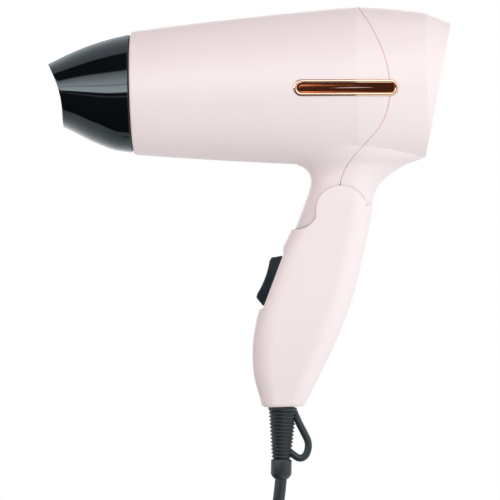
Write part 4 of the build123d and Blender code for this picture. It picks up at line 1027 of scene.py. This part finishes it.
# %% World
world = bpy.data.worlds.new("white_studio")
scene.world = world
sky = new_tree(world)
rays = sky.node("ShaderNodeLightPath").socket.node.outputs
seen = Shade(sky.tree, rays["Is Camera Ray"]) + Shade(sky.tree, rays["Is Glossy Ray"])
seen = seen + Shade(sky.tree, rays["Is Transmission Ray"])
WHITE = colour(1.0, 1.0, 1.0)
DIM_FILL = colour(1.0, 0.68, 0.67)
DIM_STRENGTH = 0.49
BRIGHT_STRENGTH = 1.15
BRIGHT_SIDE = (0.78, -0.30, -0.55)
way = sky.node("ShaderNodeTexCoord", output="Generated")
towards = sky.node("ShaderNodeVectorMath", {0: way, 1: BRIGHT_SIDE}, "Value", operation="DOT_PRODUCT")
dim = sky.node("ShaderNodeBackground", {"Color": DIM_FILL, "Strength": DIM_STRENGTH})
bright = sky.node("ShaderNodeBackground", {"Color": WHITE, "Strength": BRIGHT_STRENGTH})
white = sky.node("ShaderNodeBackground", {"Color": WHITE, "Strength": 1.0})
fill = sky.node("ShaderNodeMixShader", {0: 0.5 + 0.5 * towards, 1: dim, 2: bright})
backdrop = sky.node("ShaderNodeMixShader", {0: seen, 1: fill, 2: white})
sky.node("ShaderNodeOutputWorld", {"Surface": backdrop})
print("world: brighter towards", BRIGHT_SIDE)

# %% [markdown]
# Soft boxes give the shape its light and shade: two in front, one at the side and one behind. All are
# large, so that no shadow has a hard edge. Three stand on a ball around the dryer, so a turn and a lift
# in degrees place each of them.

# %% Soft boxes
def soft_box(name, place, size, watts, tint=NO_TINT, aim=(0.0, 0.0, 0.06)):
    """Rectangular lamp at a place (m) turned towards the dryer."""
    lamp = bpy.data.lights.new(name, "AREA")
    lamp.shape = "RECTANGLE"
    lamp.size, lamp.size_y = size
    lamp.energy = watts
    lamp.color = tint
    obj = bpy.data.objects.new(name, lamp)
    turned = (Vector(aim) - Vector(place)).to_track_quat("-Z", "Y").to_matrix().to_4x4()
    obj.matrix_world = Matrix.Translation(place) @ turned
    scene.collection.objects.link(obj)
    return obj


def compass(turn, lift, reach):
    """Place at a turn and a lift (degrees) around the origin, at a distance."""
    turn, lift = math.radians(turn), math.radians(lift)
    level = reach * math.cos(lift)
    return Vector((level * math.cos(turn), level * math.sin(turn), reach * math.sin(lift)))


BOX_MIDDLE = Vector((0.0, 0.0, 0.10))
BOX_TINT = (0.94, 0.98, 1.0)
BOX_REACH = 1.6
WIDE_BOX = (1.3, 0.70)
LOW_BOX = (1.3, 0.40)
SIDE_BOX = (1.0, 1.0)
SIDE_PLACE = (1.55, -0.45, 0.35)
upper_place = BOX_MIDDLE + compass(-74, 35, BOX_REACH)
lower_place = BOX_MIDDLE + compass(-74, 12.5, BOX_REACH)
back_place = BOX_MIDDLE + compass(100, 11, BOX_REACH)
soft_box("upper_front_box", upper_place, WIDE_BOX, 5.5, BOX_TINT, BOX_MIDDLE)
soft_box("lower_front_box", lower_place, LOW_BOX, 2.9, BOX_TINT, BOX_MIDDLE)
soft_box("side_box", SIDE_PLACE, SIDE_BOX, 1.5)
back_box = soft_box("back_box", back_place, WIDE_BOX, 6.0, BOX_TINT, BOX_MIDDLE)
back_box.visible_camera = False
print("lamps ready")

# %% [markdown]
# The floor is a round sheet of paper that fades out to clear, so it keeps the dryer's soft shadow and
# shows no horizon. It is left out of gloss and bounced light, where it would darken the underside.

# %% Floor
FLOOR_R = 0.6
FLOOR_SIDES = 96
FADE_START, FADE_END = 0.22, 0.58
PAPER_DEEP = colour(0.80, 0.86, 0.86)
PAPER_LIGHT = colour(0.84, 0.90, 0.90)
PAPER_GRAIN = 700.0
floor_mesh = bmesh.new()
bmesh.ops.create_circle(floor_mesh, cap_ends=True, segments=FLOOR_SIDES, radius=FLOOR_R)
floor_data = bpy.data.meshes.new("studio_floor")
floor_mesh.to_mesh(floor_data)
floor_mesh.free()
floor = bpy.data.objects.new("studio_floor", floor_data)
floor.location = (0, 0, cad_box[0][2])
scene.collection.objects.link(floor)
floor.visible_glossy = False
floor.visible_diffuse = False
floor_paper = bpy.data.materials.new("floor_paper")
paper = new_tree(floor_paper)
here = paper.node("ShaderNodeTexCoord", output="Object")
grain = paper.node("ShaderNodeTexNoise", {"Vector": here, "Scale": PAPER_GRAIN, "Detail": 3.0}, "Fac")
tone = paper.node("ShaderNodeMix", {0: grain, 6: PAPER_DEEP, 7: PAPER_LIGHT}, 2, data_type="RGBA")
sheet = paper.node("ShaderNodeBsdfPrincipled", {"Base Color": tone, "Roughness": 0.8})
reach = paper.node("ShaderNodeVectorMath", {0: here}, "Value", operation="LENGTH")
fade = paper.node("ShaderNodeMapRange", {"Value": reach, "From Min": FADE_START, "From Max": FADE_END})
clear = paper.node("ShaderNodeBsdfTransparent")
faded = paper.node("ShaderNodeMixShader", {0: fade, 1: sheet, 2: clear})
paper.node("ShaderNodeOutputMaterial", {"Surface": faded})
floor_data.materials.append(floor_paper)
print("floor ready")

# %% [markdown]
# Gloss black shows what stands around it. In a studio, boards beside the lens decide what that is: dark
# ones keep the nozzle black, and bright bands give its streaks. Here they are cards bent to a dome, which
# only gloss can see, painted by height: one before the nozzle, one behind the dryer and a small dark one
# before the trim.

# %% Cards for the gloss
CARD_R = 3.6
CARD_STEPS = 24


def card_paint(name, stops):
    """Glow of a card by its height, from bottom to top of the dome it is bent to."""
    material = bpy.data.materials.new(name)
    paint = new_tree(material)
    here = paint.node("ShaderNodeTexCoord", output="Object")
    height = paint.node("ShaderNodeSeparateXYZ", {"Vector": here}, "Z")
    glow = paint.node("ShaderNodeValToRGB", {"Fac": 0.5 + height * (0.5 / CARD_R)}, "Color", stops=stops)
    paint.node("ShaderNodeOutputMaterial", {"Surface": paint.node("ShaderNodeEmission", {"Color": glow})})
    return material


def card(name, turns, lifts, paint):
    """Card bent to part of a dome, which only gloss can see."""
    made = bmesh.new()
    rows = []
    shares = [step / CARD_STEPS for step in range(CARD_STEPS + 1)]
    for up in shares:
        lift = lifts[0] + (lifts[1] - lifts[0]) * up
        places = [compass(turns[0] + (turns[1] - turns[0]) * along, lift, CARD_R) for along in shares]
        rows.append([made.verts.new(place) for place in places])
    for first, second in zip(rows, rows[1:]):
        for index in range(CARD_STEPS):
            made.faces.new((first[index], first[index + 1], second[index + 1], second[index]))
    mesh = bpy.data.meshes.new(name)
    made.to_mesh(mesh)
    made.free()
    mesh.materials.append(paint)
    obj = bpy.data.objects.new(name, mesh)
    scene.collection.objects.link(obj)
    for ray in ("camera", "diffuse", "transmission", "shadow", "volume_scatter"):
        setattr(obj, "visible_" + ray, False)
    return obj


DARK = colour(0.012, 0.014, 0.016)
LOW_GREY = colour(0.20, 0.23, 0.25)
HIGH_GREY = colour(0.30, 0.335, 0.355)


def box_glow(strength):
    """Cool white of a soft box at a strength."""
    return colour(*(part * strength for part in BOX_TINT))


nozzle_stops = [
    (0.016, LOW_GREY),
    (0.018, DARK),
    (0.430, DARK),
    (0.446, box_glow(0.40)),
    (0.462, DARK),
    (0.514, DARK),
    (0.520, box_glow(2.9)),
    (0.620, box_glow(2.6)),
    (0.648, box_glow(1.3)),
    (0.664, box_glow(2.4)),
    (0.720, box_glow(1.9)),
    (0.830, box_glow(0.9)),
    (0.850, DARK),
    (0.978, DARK),
    (0.982, HIGH_GREY),
]
card("nozzle_card", (-165, -98), (-89, 89), card_paint("nozzle_card_paint", nozzle_stops))
back_stops = [
    (0.0, colour(0.24, 0.28, 0.30)),
    (0.2, colour(0.60, 0.66, 0.69)),
    (0.4, WHITE),
    (0.6, WHITE),
    (0.8, colour(0.66, 0.72, 0.75)),
    (1.0, colour(0.32, 0.36, 0.39)),
]
card("back_card", (70, 195), (-89, 89), card_paint("back_card_paint", back_stops))
trim_stops = [(0.0, colour(0.05, 0.05, 0.05)), (1.0, colour(0.10, 0.10, 0.10))]
card("trim_card", (-98, -60), (-22, 22), card_paint("trim_card_paint", trim_stops))
print("stage ready")

# %% [markdown]
# Last, the view layer is updated.

# %% Last update
bpy.context.view_layer.update()
